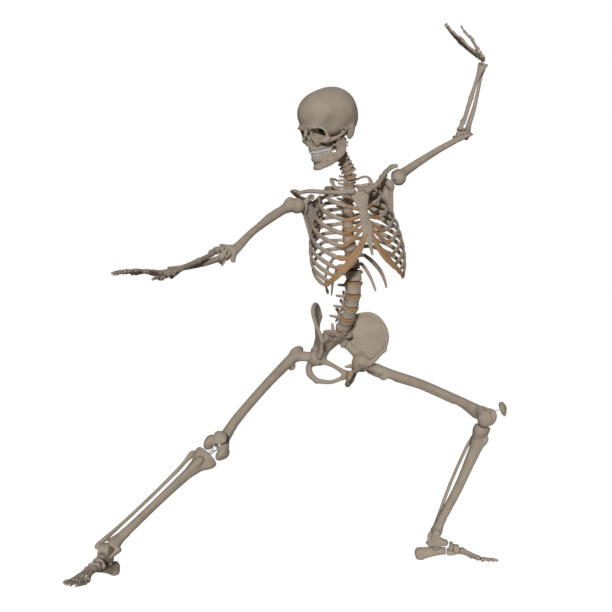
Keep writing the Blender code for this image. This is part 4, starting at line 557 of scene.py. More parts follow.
def arm_frames(word, k):
    """Frames of one arm's bodies, from the shoulder down to the palm."""
    shoulder, elbow, wrist = (joint_place(word + n)
                              for n in ("_shoulder_swing", "_elbow_bend", "_wrist_bend"))
    hinge, roll = joint_axis(word + "_elbow_bend"), joint_axis(word + "_forearm_twist")
    upper = settle(shoulder, (0, 0, 0), shoulder - elbow, (0, 0, 1), hinge, (1, 0, 0))
    head, tail = mirror_point(RADIUS_HEAD, k), mirror_point(ULNA_HEAD, k)
    ulna = settle(elbow, (0, 0, 0), hinge, (1, 0, 0), roll, head - tail)
    foot = ulna @ tail
    radius = settle(foot, tail, roll, head - tail, wrist - foot, mirror_point(WRIST, k) - tail)
    middle = joint_place(word + "_middle_bend")
    hand = settle(wrist, (0, 0, 0), joint_axis(word + "_wrist_bend"), (1, 0, 0), middle - wrist,
                  mirror_point(MIDDLE_KNUCKLE, k))
    return {word + "_upper_arm": upper, word + "_ulna": ulna, word + "_radius": radius,
            word + "_hand": hand}


frames = trunk_frames()
for side in (LEFT, RIGHT):
    frames.update(leg_frames(WORD[side]))
    frames.update(arm_frames(WORD[side], side))


# ---------------------------------------------------------------- finishes
def wire(source, output, target, socket):
    """Join one node's output to another node's input."""
    source.id_data.links.new(source.outputs[output], target.inputs[socket])


def fill(node, values):
    """Set a node's inputs by name."""
    for name, value in values.items():
        node.inputs[name].default_value = value


def add_nodes(tree, family, *kinds):
    """New nodes of a family, such as ShaderNode, one of each kind named."""
    return [tree.nodes.new(family + kind) for kind in kinds]


def material_of(name):
    """New material with its node tree and its shader."""
    mat = bpy.data.materials.new(name)
    mat.use_nodes = True
    return mat, mat.node_tree, mat.node_tree.nodes["Principled BSDF"]


def bone_finish(name, light, dark, roughness, grain=0.5):
    """Matt cast bone: cloudy tone, painted shade in its hollows and creases, fine pores."""
    mat, tree, shader = material_of(name)
    place, cloud, pores, tone = add_nodes(tree, "ShaderNode", "TexCoord", "TexNoise", "TexNoise",
                                          "ValToRGB")
    for noise, scale, detail in ((cloud, 34, 5), (pores, 900, 3)):
        fill(noise, {"Scale": scale, "Detail": detail})
        wire(place, "Object", noise, "Vector")
    low_tone, high_tone = tone.color_ramp.elements
    low_tone.position, low_tone.color = 0.3, (*dark, 1)
    high_tone.position, high_tone.color = 0.62, (*light, 1)
    wire(cloud, "Fac", tone, "Fac")
    # painted shade: concave creases and hollows, found by Pointiness, multiply the base colour down
    # to 0.45 where shade would fall
    point, painted_crease_shade, crease_shade_multiply, rough, bump = add_nodes(tree, "ShaderNode", "NewGeometry", "MapRange",
                                                 "Mix", "MapRange", "Bump")
    fill(painted_crease_shade, {"From Min": 0.42, "From Max": 0.5, "To Min": 0.45, "To Max": 1.0})
    wire(point, "Pointiness", painted_crease_shade, "Value")
    crease_shade_multiply.data_type, crease_shade_multiply.blend_type = "RGBA", "MULTIPLY"
    fill(crease_shade_multiply, {"Factor": 1.0})
    wire(tone, "Color", crease_shade_multiply, "A")
    wire(painted_crease_shade, "Result", crease_shade_multiply, "B")
    wire(crease_shade_multiply, "Result", shader, "Base Color")
    fill(rough, {"To Min": roughness - 0.08, "To Max": roughness + 0.08})
    wire(pores, "Fac", rough, "Value")
    wire(rough, "Result", shader, "Roughness")
    fill(bump, {"Strength": grain * 0.3, "Distance": 0.0004})
    wire(pores, "Fac", bump, "Height")
    wire(bump, "Normal", shader, "Normal")
    fill(shader, {"Specular IOR Level": 0.03})
    return mat


def steel_finish():
    """Brushed steel, uneven in its shine."""
    mat, tree, shader = material_of("brushed steel")
    place, grain, rough = add_nodes(tree, "ShaderNode", "TexCoord", "TexNoise", "MapRange")
    fill(grain, {"Scale": 700})
    wire(place, "Object", grain, "Vector")
    fill(rough, {"To Min": 0.28, "To Max": 0.45})
    wire(grain, "Fac", rough, "Value")
    wire(rough, "Result", shader, "Roughness")
    fill(shader, {"Base Color": (0.55, 0.55, 0.57, 1), "Metallic": 1.0})
    return mat


FINISHES = {
    "bone": bone_finish("bone", (0.43, 0.36, 0.285), (0.37, 0.305, 0.24), 0.6),
    "cartilage": bone_finish("cartilage", (0.43, 0.26, 0.145), (0.36, 0.205, 0.11), 0.5),
    "enamel": bone_finish("enamel", (0.62, 0.6, 0.56), (0.52, 0.5, 0.46), 0.35, 0.2),
    "steel": steel_finish()}


# ---------------------------------------------------------------- legs
KNEE_GAP_FLOOR = -28       # top of the tibia below the knee axis
DOME = 19                  # radius of the talus under the tibia
KNEECAP_SHARE = 0.56       # how much of the knee's bend the kneecap goes along with
# steel stud that carries a ball head: its shaft, the pin across it, and the room round both
STUD_RADIUS, PIN_RADIUS, PIN_HALF, STUD_ROOM = 3, 4, 10, 0.4
STUD_SWING = 60            # degrees from the stud to each side of its slot
HIP_STUD, SHOULDER_STUD = 25.5, 31       # from a ball's middle into the bone that holds it


def ball_axes(k, swing, spread, body):
    """Directions of a ball joint's stud, towards the body that holds it, and of its pin."""
    stud, pin = joint_axis(WORD[k] + swing), joint_axis(WORD[k] + spread)
    if stud.dot(frames[body].to_3x3().col[0]) * k > 0:
        stud = -stud
    return stud, pin


def seat_wedge(k, stud, pin, head):
    """Room in a left-hand ball head for the stud that carries it."""
    shaft, cross = ((mirror(k) @ axis).normalized() for axis in (stud, pin))
    reach = cross * (PIN_HALF + STUD_ROOM)
    return [bore(-reach, reach, PIN_RADIUS + STUD_ROOM),
            sector(cross, shaft, STUD_SWING, head + 10, 2 * (STUD_RADIUS + STUD_ROOM))]


def make_stud(name, k, stud, pin, place, reach):
    """Steel stud from a ball's middle into the bone that holds it, and its cross pin."""
    shaft = -stud * k
    turn = Matrix((shaft, pin, shaft.cross(pin))).transposed().to_4x4()
    turn.translation = place
    steel_bar(name, name, turn, [((0, 0, 0), (-k * reach, 0, 0), STUD_RADIUS),
                                 ((0, -PIN_HALF, 0), (0, PIN_HALF, 0), PIN_RADIUS)])


def femur_shape(k, stud, pin):
    """Thigh bone, hip centre at the origin and the knee axis at its foot."""
    knee = Vector((0, 0, -FEMUR))
    s = Shape()
    shaft = [(50, 6, -34), (46, 2, -90), (36, -8, -187), (20, -8, -311), (7, -3, -368),
             (1, -1, -392)]
    s.add(limb(shaft, [(17, 16), (15, 14.5), (13, 13.2), (13.6, 13.4), (21, 15), (28, 18)],
               steps=4), blend=0)
    s.add(limb([(8, 1, -5), (28, 4, -19), (46, 6, -33)], [(15.5, 16), (12.5, 15), (15, 18)],
               steps=3), blend=7)
    s.add(lump((58, 9, -22), (12, 17, 22), turned(y=-10)), blend=9)
    s.add(lump((55, 17, -8), (9, 11, 12)), blend=7)
    s.add(limb([(52, 24, -14), (44, 25, -42), (36, 20, -64)], [4, 3.4, 4]), blend=8)
    s.add(lump((33, 18, -66), (9, 9, 12)), blend=8)
    s.add(limb([(44, 14, -100), (33, 4, -187), (18, 4, -300)], [(3.5, 5), (3.2, 5.5), (3, 4)]),
          blend=7)
    for m, deep in ((1, 26), (-1, 25)):
        s.add(lump(knee + Vector((m * 23, 3, 1)), (13.5, deep, 21.5), turned(z=m * 4)), blend=6)
        s.add(lump(knee + Vector((m * 31, 3, 7)), (8, 13, 12)), blend=8)
    s.add(lump(knee + Vector((0, -9, 17)), (27, 16, 19)), blend=8)
    s.cut(limb([knee + Vector((0, -34, 34)), knee + Vector((0, -34, 8)),
                knee + Vector((0, -27, -18))], [12, 13, 11]), blend=8)
    s.cut(limb([knee + Vector((0, 34, 4)), knee + Vector((0, 12, -16))], [(10, 10), (9, 9)]),
          blend=6)
    s.add(lump((0, 0, 0), 23.9), blend=2.5)
    s.cut(lump((-24, 0, -5), (5, 6, 6)), blend=3)
    s.cut(*seat_wedge(k, stud, pin, 24), blend=0.6)
    s.cut(lump(knee + Vector((4, 33, 25)), (24, 17, 19)), blend=5)
    s.cut(brick(knee + Vector((-6, -22, -40)), knee + Vector((6, 40, 22)), 2), blend=1)
    s.cut(bore(knee + Vector((-28, 0, 0)), knee + Vector((28, 0, 0)), 4.1), blend=0.4)
    return s


def tibia_shape(k, torsion):
    """Shin bone; its shaft turns a little on the way down."""
    def down(x, y, share):
        return turned(z=k * torsion * share) @ Vector((x, y, -TIBIA * share))
    top = KNEE_GAP_FLOOR
    s = Shape()
    s.add(limb([(0, 2, top - 9), (0, 2, top - 16), (0, 1, top - 34), (0, -2, top - 58)],
               [(35.5, 22.5), (34, 22.5), (23, 18.5), (16, 16.5)], reference=(0, 1, 0), steps=4),
          blend=0)
    s.add(limb([(0, -2, top - 54), down(0, -4, 0.34), down(-1, -5, 0.56), down(-1, 0, 0.84)],
               [(15, 16), (12.6, 14.5), (10.8, 12.4), (11.6, 12)], reference=(0, 1, 0), steps=4),
          blend=6)
    s.add(limb([down(-1, 0, 0.84), down(-1, 0, 0.9), down(-1.5, 0, 0.955)],
               [(11.6, 12), (14.5, 14), (20.5, 17.5)], reference=(0, 1, 0), steps=4), blend=5)
    s.add(limb([(1, -20, top - 34), (1, -18, top - 60), down(1, -15, 0.4), down(0, -13, 0.62),
                down(-1, -8, 0.8)], [(9, 5), (5, 5), (3.6, 4), (3.4, 4), (3, 3)],
               reference=(0, 1, 0), steps=3), blend=8)
    s.add(lump((0, -22, top - 37), (9, 6.5, 14)), blend=7)
    malleolus = [turned(z=k * torsion) @ Vector((-22, 0, z - TIBIA)) for z in (22, 6, -5)]
    s.add(limb(malleolus, [(7.5, 12), (5.2, 10), (4, 7.5)], reference=(0, 1, 0)), blend=5)
    for m in (1, -1):
        s.cut(lump((m * 18, 2, top + 23.2), (15.5, 19, 25)), blend=2.5)
    s.cut(lump((4, 31, top - 4), (22, 12, 13)), blend=4)
    s.cut(beyond((0, 0, top), (0, 0, -1)), bore((-40, 0, 0), (40, 0, 0), 1.6 - top), blend=2.2)
    across = turned(z=k * torsion).to_3x3().col[0]
    foot = Vector((0, 0, -TIBIA))
    s.cut(bore(foot - across * 17.3, foot + across * 17.3, DOME + 0.5), blend=1.2)
    return s


def fibula_shape(k, torsion):
    """Outer shin bone, cleared where the tibia lies."""
    def down(x, y, share):
        return turned(z=k * torsion * share) @ Vector((x, y, -TIBIA * share))
    s = Shape()
    path = [(38, 17, -47), (38, 19, -56), (37, 22, -74), down(34, 24, 0.3), down(30, 20, 0.6),
            down(27, 10, 0.86), down(26, 4, 0.95), down(25.5, 3, 1.01), down(24.8, 3, 1.035)]
    s.add(limb(path, [(6, 7), (8.5, 9.5), (5.6, 6), (4.6, 5.4), (4.7, 5.2), (5, 6), (6, 9),
                      (5, 8.5), (3, 5)], steps=3), blend=0)
    s.cut(limb([(0, 2, -30), (0, 2, -44), (0, 1, -64), (0, -2, -86)],
               [(36.4, 23.4), (35, 23.4), (24, 19.5), (17, 17.5)], reference=(0, 1, 0)),
          blend=1)
    s.cut(limb([down(-1, 0, 0.84), down(-1, 0, 0.9), down(-1.5, 0, 0.955),
                down(-1.5, 0, 1.06)], [(12.6, 13), (15.4, 15), (21.2, 18.4), (21, 18)],
               reference=(0, 1, 0)), blend=1)
    return s


def patella_shape():
    """Kneecap, with two shallow facets on its back."""
    s = Shape()
    s.add(limb([(0, 0, 14), (0, -0.5, 4), (0, 0, -7), (0, 0, -18)],
               [(13, 7), (20, 10), (15, 8), (4, 3.6)], reference=(0, 1, 0), steps=4), blend=0)
    s.cut(lump((9, 17, 1), (14, 12, 19)), lump((-9, 17, 1), (14, 12, 19)), blend=3)
    return s


def steel_bar(name, body, place, bars, nodes=None):
    """Turned steel pins, each a closed bar with softened ends."""
    bm = bmesh.new()
    for start, end, radius in bars:
        start, end = Vector(start), Vector(end)
        run = end - start
        turn = run.to_track_quat("Z", "Y").to_matrix().to_4x4()
        bmesh.ops.create_cone(bm, cap_ends=True, segments=32, radius1=radius, radius2=radius,
                              depth=run.length,
                              matrix=Matrix.Translation((start + end) / 2) @ turn)
    rims = [e for e in bm.edges if e.calc_face_angle(0) > 1]
    bmesh.ops.bevel(bm, geom=rims, offset=0.5, segments=2, affect="EDGES", profile=0.5)
    bmesh.ops.transform(bm, matrix=in_metres(place), verts=bm.verts)
    mesh = bpy.data.meshes.new(name)
    bm.to_mesh(mesh)
    bm.free()
    obj = mount(name, mesh, body, nodes, "steel")
    obj.data.set_sharp_from_angle(angle=math.radians(40))
    return obj


def patella_place(word):
    """Half way round the bent knee, in the thigh's frame."""
    shin = frames[word + "_thigh"].inverted() @ frames[word + "_shin"]
    bend = math.degrees(shin.to_euler().x) * KNEECAP_SHARE
    return frames[word + "_thigh"] @ moved(0, 0, -FEMUR) @ turned(x=bend) @ moved(0, -49, 11)


def shin_torsion(word):
    """Turn of the ankle's axis from the knee's, in degrees."""
    relative = frames[word + "_shin"].to_3x3().inverted() @ frames[word + "_foot"].to_3x3()
    return math.degrees(relative.to_euler("YXZ").z)


def make_leg(k):
    """Thigh, shin and kneecap of one leg, with the steel at the hip and knee."""
    word = WORD[k]
    thigh, shin = frames[word + "_thigh"], frames[word + "_shin"]
    back = thigh.to_3x3().inverted()
    stud, pin = ball_axes(k, "_hip_swing", "_hip_spread", "pelvis")
    torsion, kneecap = shin_torsion(word), patella_place(word)
    for bone_name, body, place, shape, grain in (
            ("_femur", "_thigh", thigh, femur_shape(k, back @ stud, back @ pin), 1.6),
            ("_tibia", "_shin", shin, tibia_shape(k, torsion), 1.6),
            ("_fibula", "_shin", shin, fibula_shape(k, torsion), 1.2),
            ("_patella", "_thigh", kneecap, patella_shape(), 1.0)):
        bone_piece(word + bone_name, word + body, [sided(shape.skin(grain, 2), k)], place)
    steel_bar(word + "_patella_peg", word + "_thigh", kneecap,
              [((k * 15, 3, 0), (k * 15, 33, 0), 1.2)], [])
    make_stud(word + "_hip_stud", k, stud, pin, joint_place(word + "_hip_swing"), HIP_STUD)
    make_knee_hinge(word)


def make_knee_hinge(word):
    """Steel block on the shin, with the pin that the thigh turns on."""
    s = Shape()
    s.add(bore((-4.8, 0, 0), (4.8, 0, 0), 9.4), blend=0)
    s.add(brick((-4.4, -7.8, KNEE_GAP_FLOOR - 1.2), (4.4, 7.8, -2), 1), blend=3)
    s.add(bore((-25.8, 0, 0), (25.8, 0, 0), 3), blend=0.5)
    bone_piece(word + "_knee_hinge", word + "_shin", [s.skin(0.7, 1)], slot="steel")


# ---------------------------------------------------------------- feet
SOLE = -68
# toe: base, knuckle X and Y, knuckle radius, tip Y
TOES = [((-14, -74.5, -34), -26, -126, 8.4, -186), ((-4, -72.5, -32), -9, -131, 5.4, -183),
        ((6, -72, -35), 5, -126, 5.2, -173), ((14, -63.5, -40), 18, -118, 5.0, -161),
        ((21, -60, -45), 31, -107, 5.0, -145)]
# where each joint of a toe comes along it, and how high the bones' lower sides rise there
BIG_TOE = ((0.0, 1.0), (0.58, 1.5), (1.0, 0.0))
SMALL_TOE = ((0.0, 1.0), (0.52, 4.5), (0.78, 2.0), (1.0, 0.0))


def talus_shape():
    """Ankle bone in the left foot's frame: dome above, head in front."""
    s = Shape()
    s.add(bore((-15.8, 0, 0), (15.8, 0, 0), DOME - 0.4), blend=0)
    s.add(brick((-15, -22, -29), (15, 18, -4), 5), blend=4)
    s.add(limb([(-2, -14, -12), (-4, -31, -17)], [(12, 10), (12.5, 10.5)]), blend=5)
    s.add(lump((-2, 16, -18), (9, 8, 6)), blend=4)
    s.cut(limb([(26, -10, -26), (-8, 6, -31)], [6, 5]), blend=3)
    for m in (1, -1):
        s.cut(beyond((m * 16.4, 0, 0), (-m, 0, 0)), blend=2.5)
    return s


def calcaneus_shape():
    """Heel bone, rising towards its front."""
    s = Shape()
    s.add(limb([(-1, 44, SOLE + 19), (0, 26, SOLE + 22), (2, 4, SOLE + 26), (5, -18, SOLE + 27),
                (7, -32, SOLE + 27)],
               [(13, 18), (11, 17), (12, 15), (12, 12), (11, 10.5)], steps=4), blend=0)
    s.add(lump((-2, 40, SOLE + 9), (13, 12, 9)), blend=6)
    s.add(limb([(-4, 2, SOLE + 35), (-15, -8, SOLE + 36)], [(9, 7), (8, 4.5)]), blend=5)
    s.add(lump((6, 0, SOLE + 35), (11, 15, 8)), blend=5)
    s.cut(bore((0, 60, 0), (0, -46, 0), 30.5), blend=1.5)
    s.cut(beyond((0, 0, SOLE + 0.4), (0, 0, 1)), blend=2)
    s.cut(beyond((0, -33.6, 0), (0, 1, 0)), blend=2)
    return s


def midfoot_shapes():
    """Navicular, cuboid and the three wedge bones."""
    navicular = Shape().add(lump((-7, -49, SOLE + 43), (17, 8, 13), turned(z=8)), blend=0)
    navicular.add(lump((-21, -48, SOLE + 36), (7, 7, 8)), blend=4)
    navicular.cut(bore((0, 60, 0), (0, -44, 0), 30.5), blend=1)
    navicular.cut(lump((-4, -30, SOLE + 51), (14, 13, 12)), blend=1)
    cuboid = Shape().add(brick((8, -62, SOLE + 13), (26, -35, SOLE + 34), 5), blend=0)
    cuboid.cut(beyond((0, -34.6, 0), (0, -1, 0)), bore((0, 60, 0), (0, -44, 0), 30.5), blend=2)
    cuboid.cut(limb([(28, -54, SOLE + 12), (6, -52, SOLE + 10)], [3.5, 3]), blend=2)
    wedges = []
    for x, y, wide, low, high in ((-15, -64, 8.5, 23, 47), (-3.6, -62, 5.2, 27, 48),
                                  (6.2, -62, 5.2, 22, 43)):
        s = Shape().add(brick((x - wide, y - 9, SOLE + low), (x + wide, y + 8.4, SOLE + high), 4.5),
                        blend=0)
        s.cut(lump((x, y - 3, SOLE + low - 5), (wide * 1.2, 14, 9)), blend=3)
        s.cut(lump((-7, -48.6, SOLE + 43), (18.6, 9, 14), turned(z=8)), blend=1)
        wedges.append(s)
    wedges[2].cut(brick((9.8, -70, SOLE), (40, -30, SOLE + 40), 2), blend=1)
    return [navicular, cuboid, *wedges]


def shaft_bone(start, end, base, waist, head, reference=(0, 0, 1), arch=2.0):
    """Small long bone: square base, thin waist, round head."""
    start, end = Vector(start), Vector(end)
    along = (end - start).normalized()
    lift = Vector((0, 0, arch)) if reference == (0, 0, 1) else Vector((0, arch, 0))
    s = Shape()
    middle = start.lerp(end, 0.5) + lift
    inner, outer = start + along * base * 0.8, end - along * head * 0.9
    s.add(limb([inner, start.lerp(middle, 0.55), middle, middle.lerp(end, 0.5), outer],
               [(base, base), (waist * 1.15, waist * 1.15), (waist, waist),
                (waist * 1.1, waist * 1.1), (head, head)], reference=reference, steps=3), blend=0)
    s.cut(beyond(start, along), blend=1.5)
    return s


def toe_shapes():
    """Metatarsals and toe bones, from the big toe out."""
    rays = []
    for root, x, y, r, tip in TOES:
        big = r > 8
        base, thick, joints = (9.5, 6.6, BIG_TOE) if big else (6.2, 3.6, SMALL_TOE)
        head = Vector((x, y, SOLE + r + 1.5))
        rays.append(shaft_bone(root, head + Vector((0, -r * 0.6, 0)), base, r * 0.62, r))
        away = Vector((x * 0.08 - 1, tip + 4 - y, 0))
        knuckle = head + Vector((0, -r * 0.7, -0.5))
        reach = away - Vector((0, -r * 0.7, 0))
        for (a, rise), (b, fall) in zip(joints, joints[1:]):
            p = knuckle + reach * a
            q = knuckle + reach * b
            p.z, q.z = SOLE + thick + 1.4 + rise, SOLE + thick * 0.8 + 1.0 + fall
            gap = (q - p).normalized() * 0.8
            small = 1.0 - 0.25 * a
            rays.append(shaft_bone(p + gap, q, thick * 1.12 * small, thick * 0.68 * small,
                                   thick * (0.95 if b < 1 else 0.8) * small, arch=0.6))
    return rays


def make_feet():
    """Both feet from one set of left-hand skins."""
    ankle, heel = talus_shape().skin(1.0, 2), calcaneus_shape().skin(1.2, 2)
    middle = [s.skin(0.9, 2) for s in midfoot_shapes()]
    toes = [s.skin(0.8, 2) for s in toe_shapes()]
    for k in (LEFT, RIGHT):
        word = WORD[k]
        for name, body, skins, node in (("_talus", "_talus", [ankle], "_talus"),
                                        ("_calcaneus", "_foot", [heel], "_calcaneus"),
                                        ("_midfoot_bones", "_foot", middle, "_forefoot"),
                                        ("_metatarsals_and_toes", "_foot", toes, "_forefoot")):
            bone_piece(word + name, word + body, [sided(skin, k) for skin in skins],
                       frames[word + "_foot"], [word + node])


# ---------------------------------------------------------------- arms
def humerus_shape(k, end, stud, pin):
    """Upper arm; end is the elbow's own frame."""
    def at(x, y, z):
        return end @ Vector((x, y, z))
    s = Shape()
    s.add(limb([(10, 0, -14), (13, 0, -46), (11, 0, -112), (6, 0, -192), at(0, 2, 48),
                at(-2, 3, 26)],
               [(17, 16.5), (13.5, 13.5), (11, 11), (10, 10), (13, 8.5), (19, 7.5)],
               reference=(0, 1, 0), steps=3), blend=0)
    s.add(lump((12, 0, -21), (15, 15, 21)), blend=8)
    s.add(lump((21, -4, -12), (12, 15, 16)), blend=8)
    s.add(lump((10, -18, -13), (7, 5, 9)), blend=5)
    s.cut(limb([(18, -22, -4), (15, -17, -40)], [2.6, 2]), blend=4)
    s.add(limb([(20, -4, -70), (20, -3, -112), (14, -2, -150)], [(4, 4), (4.5, 4.5), (3, 3)]),
          blend=8)
    s.add(limb([at(-4, 2, 30), at(-31, 3, 6)], [(7, 9), (6, 7)]), blend=6)
    s.add(limb([at(4, 2, 28), at(25, 2, 10)], [(7, 9), (5, 6)]), blend=6)
    s.add(lump((0, 0, 0), 22.2), blend=5)
    s.add(bore(at(-20, 0, 0), at(-1, 0, 0), 10.9), blend=1.5)
    s.add(lump(at(12, -1, 0), (10, 10.6, 10.6)), blend=2)
    s.cut(lump(at(-10, 0, 0), (2.4, 13, 13)), blend=3)
    s.cut(lump(at(-7, 13, 12), (9, 6, 9)), blend=3)
    s.cut(lump(at(-7, -9, 14), (8, 5, 7)), blend=3)
    s.cut(*seat_wedge(k, stud, pin, 23), blend=0.6)
    return s


def ulna_shape():
    """Inner forearm bone, hooked round the elbow's axis."""
    s = Shape()
    s.add(limb([(-8, 13, 6), (-8, 14, -12), (-9, 9, -34), (-14, 8, -100), (-14, 4, -187),
                (-15, 2, -228)],
               [(8.5, 7.5), (9.5, 9), (8, 9), (6, 7), (4.8, 5.2), (6, 6)], steps=4), blend=0)
    s.add(limb([(-8, 4, -17), (-8, -10, -12)], [(9, 7), (8, 4)]), blend=5)
    s.add(limb([(-15, 2, -224), (-15, 2, -241)], [(7.6, 7.6), (7.4, 7.4)]), blend=3)
    s.add(limb([(-19, 5, -238), (-20, 6, -247)], [2.8, 2]), blend=2)
    s.cut(bore((-60, 0, 0), (60, 0, 0), 11.5), blend=1.5)
    axis = (Vector(RADIUS_HEAD) - Vector(ULNA_HEAD)).normalized()
    head = Vector(RADIUS_HEAD)
    s.cut(bore(head - axis * 9, head + axis * 9, 11), blend=1.5)
    return s


def radius_shape():
    """Outer forearm bone, which rolls about the line between its head and the ulna's foot."""
    head, tail = Vector(RADIUS_HEAD), Vector(ULNA_HEAD)
    axis = (head - tail).normalized()
    s = Shape()
    s.add(limb([head - axis * 4, head + Vector((0, 0, -17)), (15, -3, -46), (20, -2, -112),
                (17.5, 0, -187), (11, 0, -224), (9, 0, -238)],
               [(8, 8), (6.4, 6.4), (6.6, 6.6), (6.4, 6.8), (6.6, 6.6), (13, 9), (16, 10.5)],
               steps=4), blend=0)
    s.add(bore(head - axis * 5.5, head + axis * 4.8, 10.4), blend=2)
    s.cut(lump(head + axis * 9, (8, 8, 6)), blend=2)
    s.add(lump((12, 3, -44), (6, 6, 11)), blend=5)
    s.add(limb([(21, 1, -234), (22, 1, -247)], [(5, 7), (3.2, 4)]), blend=4)
    s.cut(lump(WRIST, 17.8), beyond((0, 0, -240.5), (0, 0, 1)), blend=1.5)
    s.cut(bore(tail - axis * 12, tail + axis * 24, 8.7), blend=1)
    return s


# carpal bones in the left hand's frame: centre and size
CARPALS = [((12, -1, -9), (8.6, 7, 8.5)), ((1, 0, -7.5), (7.4, 7.5, 8.5)),
           ((-10, 0, -9), (7, 6.5, 7.6)), ((-13, -8, -13), (4.6, 4, 5)),
           ((19, -4, -20), (6.6, 7, 6.6)), ((10.4, 0, -22.5), (5.4, 7, 6)),
           ((1.4, 0, -21), (6.4, 7.6, 8.6)), ((-9.6, 0, -21), (6.4, 7, 7.6))]
# finger: knuckle X and Z, length, root X and Z
FINGERS = {"index": (24, -92, 78, 12, -31), "middle": (7, -93, 88, 3.4, -31.5),
           "ring": (-9, -88, 80, -5.6, -30.5), "little": (-24, -81, 62, -13, -28.5)}
THUMB = ((21, -7, -28), (42, -16, -62), (60, -22, -112))


def carpal_shapes():
    """Eight wrist bones, each trimmed flat against its neighbours."""
    shapes = []
    for i, (centre, size) in enumerate(CARPALS):
        s = Shape().add(lump(centre, size), blend=0)
        s.add(lump(Vector(centre) + Vector((0, 0, -1)), [d * 0.86 for d in size]), blend=3)
        for other, (place, reach) in enumerate(CARPALS):
            if other != i:
                run = Vector(place) - Vector(centre)
                share = size[2] / (size[2] + reach[2])
                s.cut(beyond(Vector(centre) + run * share - run.normalized() * 0.4, -run), blend=1)
        shapes.append(s)
    return shapes


def palm_shapes():
    """Eight carpals, then the long bones of the palm."""
    shapes = carpal_shapes()
    for x, z, _, root_x, root_z in FINGERS.values():
        start, end = Vector((root_x, 1, root_z)), Vector((x, 0, z - 5.2))
        shapes.append(shaft_bone(start, end, 6.4, 3.7, 5.9, (0, 1, 0), 2.5))
    start, end = Vector(THUMB[0]), Vector(THUMB[1])
    shapes.append(shaft_bone(start, end + (end - start).normalized() * 5, 6.6, 4.4, 5.9,
                             (0, 1, 0), 1.0))
    return shapes


def finger_shapes(root, tip, cuts, thick):
    """Finger bones from the knuckle out, each seated on the last one's head."""
    root, tip = Vector(root), Vector(tip)
    along = (tip - root).normalized()
    bow = Vector((0, 3.4, 0))
    shapes = []
    for a, b in zip(cuts, cuts[1:]):
        p = root.lerp(tip, a) + bow * math.sin(math.pi * a)
        q = root.lerp(tip, b) + bow * math.sin(math.pi * b)
        last = b == cuts[-1]
        small = thick * (1 - 0.28 * a)
        s = shaft_bone(p + along * (0 if a else 5.4), q - along * (0 if last else 0.5),
                       small * 1.25, small * (0.72 if not last else 0.62),
                       small * (1.0 if not last else 0.8), (0, 1, 0), 0.8)
        if last:
            s.add(lump(q - along * 3.4, (small * 1.05, small * 0.7, 3.4)), blend=2)
        s.cut(lump(root, 6.6), blend=0.6)
        shapes.append(s)
    return shapes


def finger_sets():
    sets = {name: finger_shapes((x, 0, z), (x * 1.35 - 2, -6, z - length), (0, 0.5, 0.78, 1), 4.5)
            for name, (x, z, length, _, _) in FINGERS.items()}
    sets["thumb"] = finger_shapes(THUMB[1], THUMB[2], (0, 0.56, 1), 4.9)
    return sets


def make_hands():
    """Both hands from one set of left-hand skins; each finger is a piece of its own."""
    palm = [s.skin(0.8, 2) for s in palm_shapes()]
    fingers = {name: [s.skin(0.8, 2) for s in shapes] for name, shapes in finger_sets().items()}
    for k in (LEFT, RIGHT):
        word = WORD[k]
        bone_piece(word + "_wrist_and_palm_bones", word + "_hand",
                   [sided(skin, k) for skin in palm], nodes=[word + "_palm"])
        for name, skins in fingers.items():
            node = "%s_%s" % (word, name if name == "thumb" else name + "_finger")
            bone_piece(node + "_bones", "%s_%s" % (word, name),
                       [sided(skin, k) for skin in skins], frames[word + "_hand"], [node])


def elbow_end(word):
    """The elbow's frame, seen from the upper arm, with Z along the upper arm."""
    elbow = frames[word + "_upper_arm"].inverted() @ frames[word + "_ulna"]
    hinge = elbow.to_3x3().col[0].normalized()
    square = Vector((0, 0, 1)).cross(hinge).normalized()
    place = Matrix((hinge, square, hinge.cross(square))).transposed().to_4x4()
    place.translation = elbow.translation
    return place


def make_arm(k):
    """Upper arm and forearm of one arm, with the steel stud at the shoulder."""
    word = WORD[k]
    upper = frames[word + "_upper_arm"]
    back = upper.to_3x3().inverted()
    stud, pin = ball_axes(k, "_shoulder_swing", "_shoulder_raise", "thorax")
    end = mirror(k) @ elbow_end(word) @ mirror(k)
    for bone_name, body, shape, grain in (
            ("_humerus", "_upper_arm", humerus_shape(k, end, back @ stud, back @ pin), 1.4),
            ("_ulna", "_ulna", ulna_shape(), 1.2), ("_radius", "_radius", radius_shape(), 1.2)):
        bone_piece(word + bone_name, word + body, [sided(shape.skin(grain, 2), k)])
    make_stud(word + "_shoulder_stud", k, stud, pin, joint_place(word + "_shoulder_swing"),
              SHOULDER_STUD)


# ---------------------------------------------------------------- spine
THORACIC_STEP = [26, 25, 24.5, 24, 23.5, 22.5, 22, 21.5, 21.5, 21, 20.5, 20]   # from T12 up
STEP_SCALE = THORAX_TALL / sum(THORACIC_STEP)


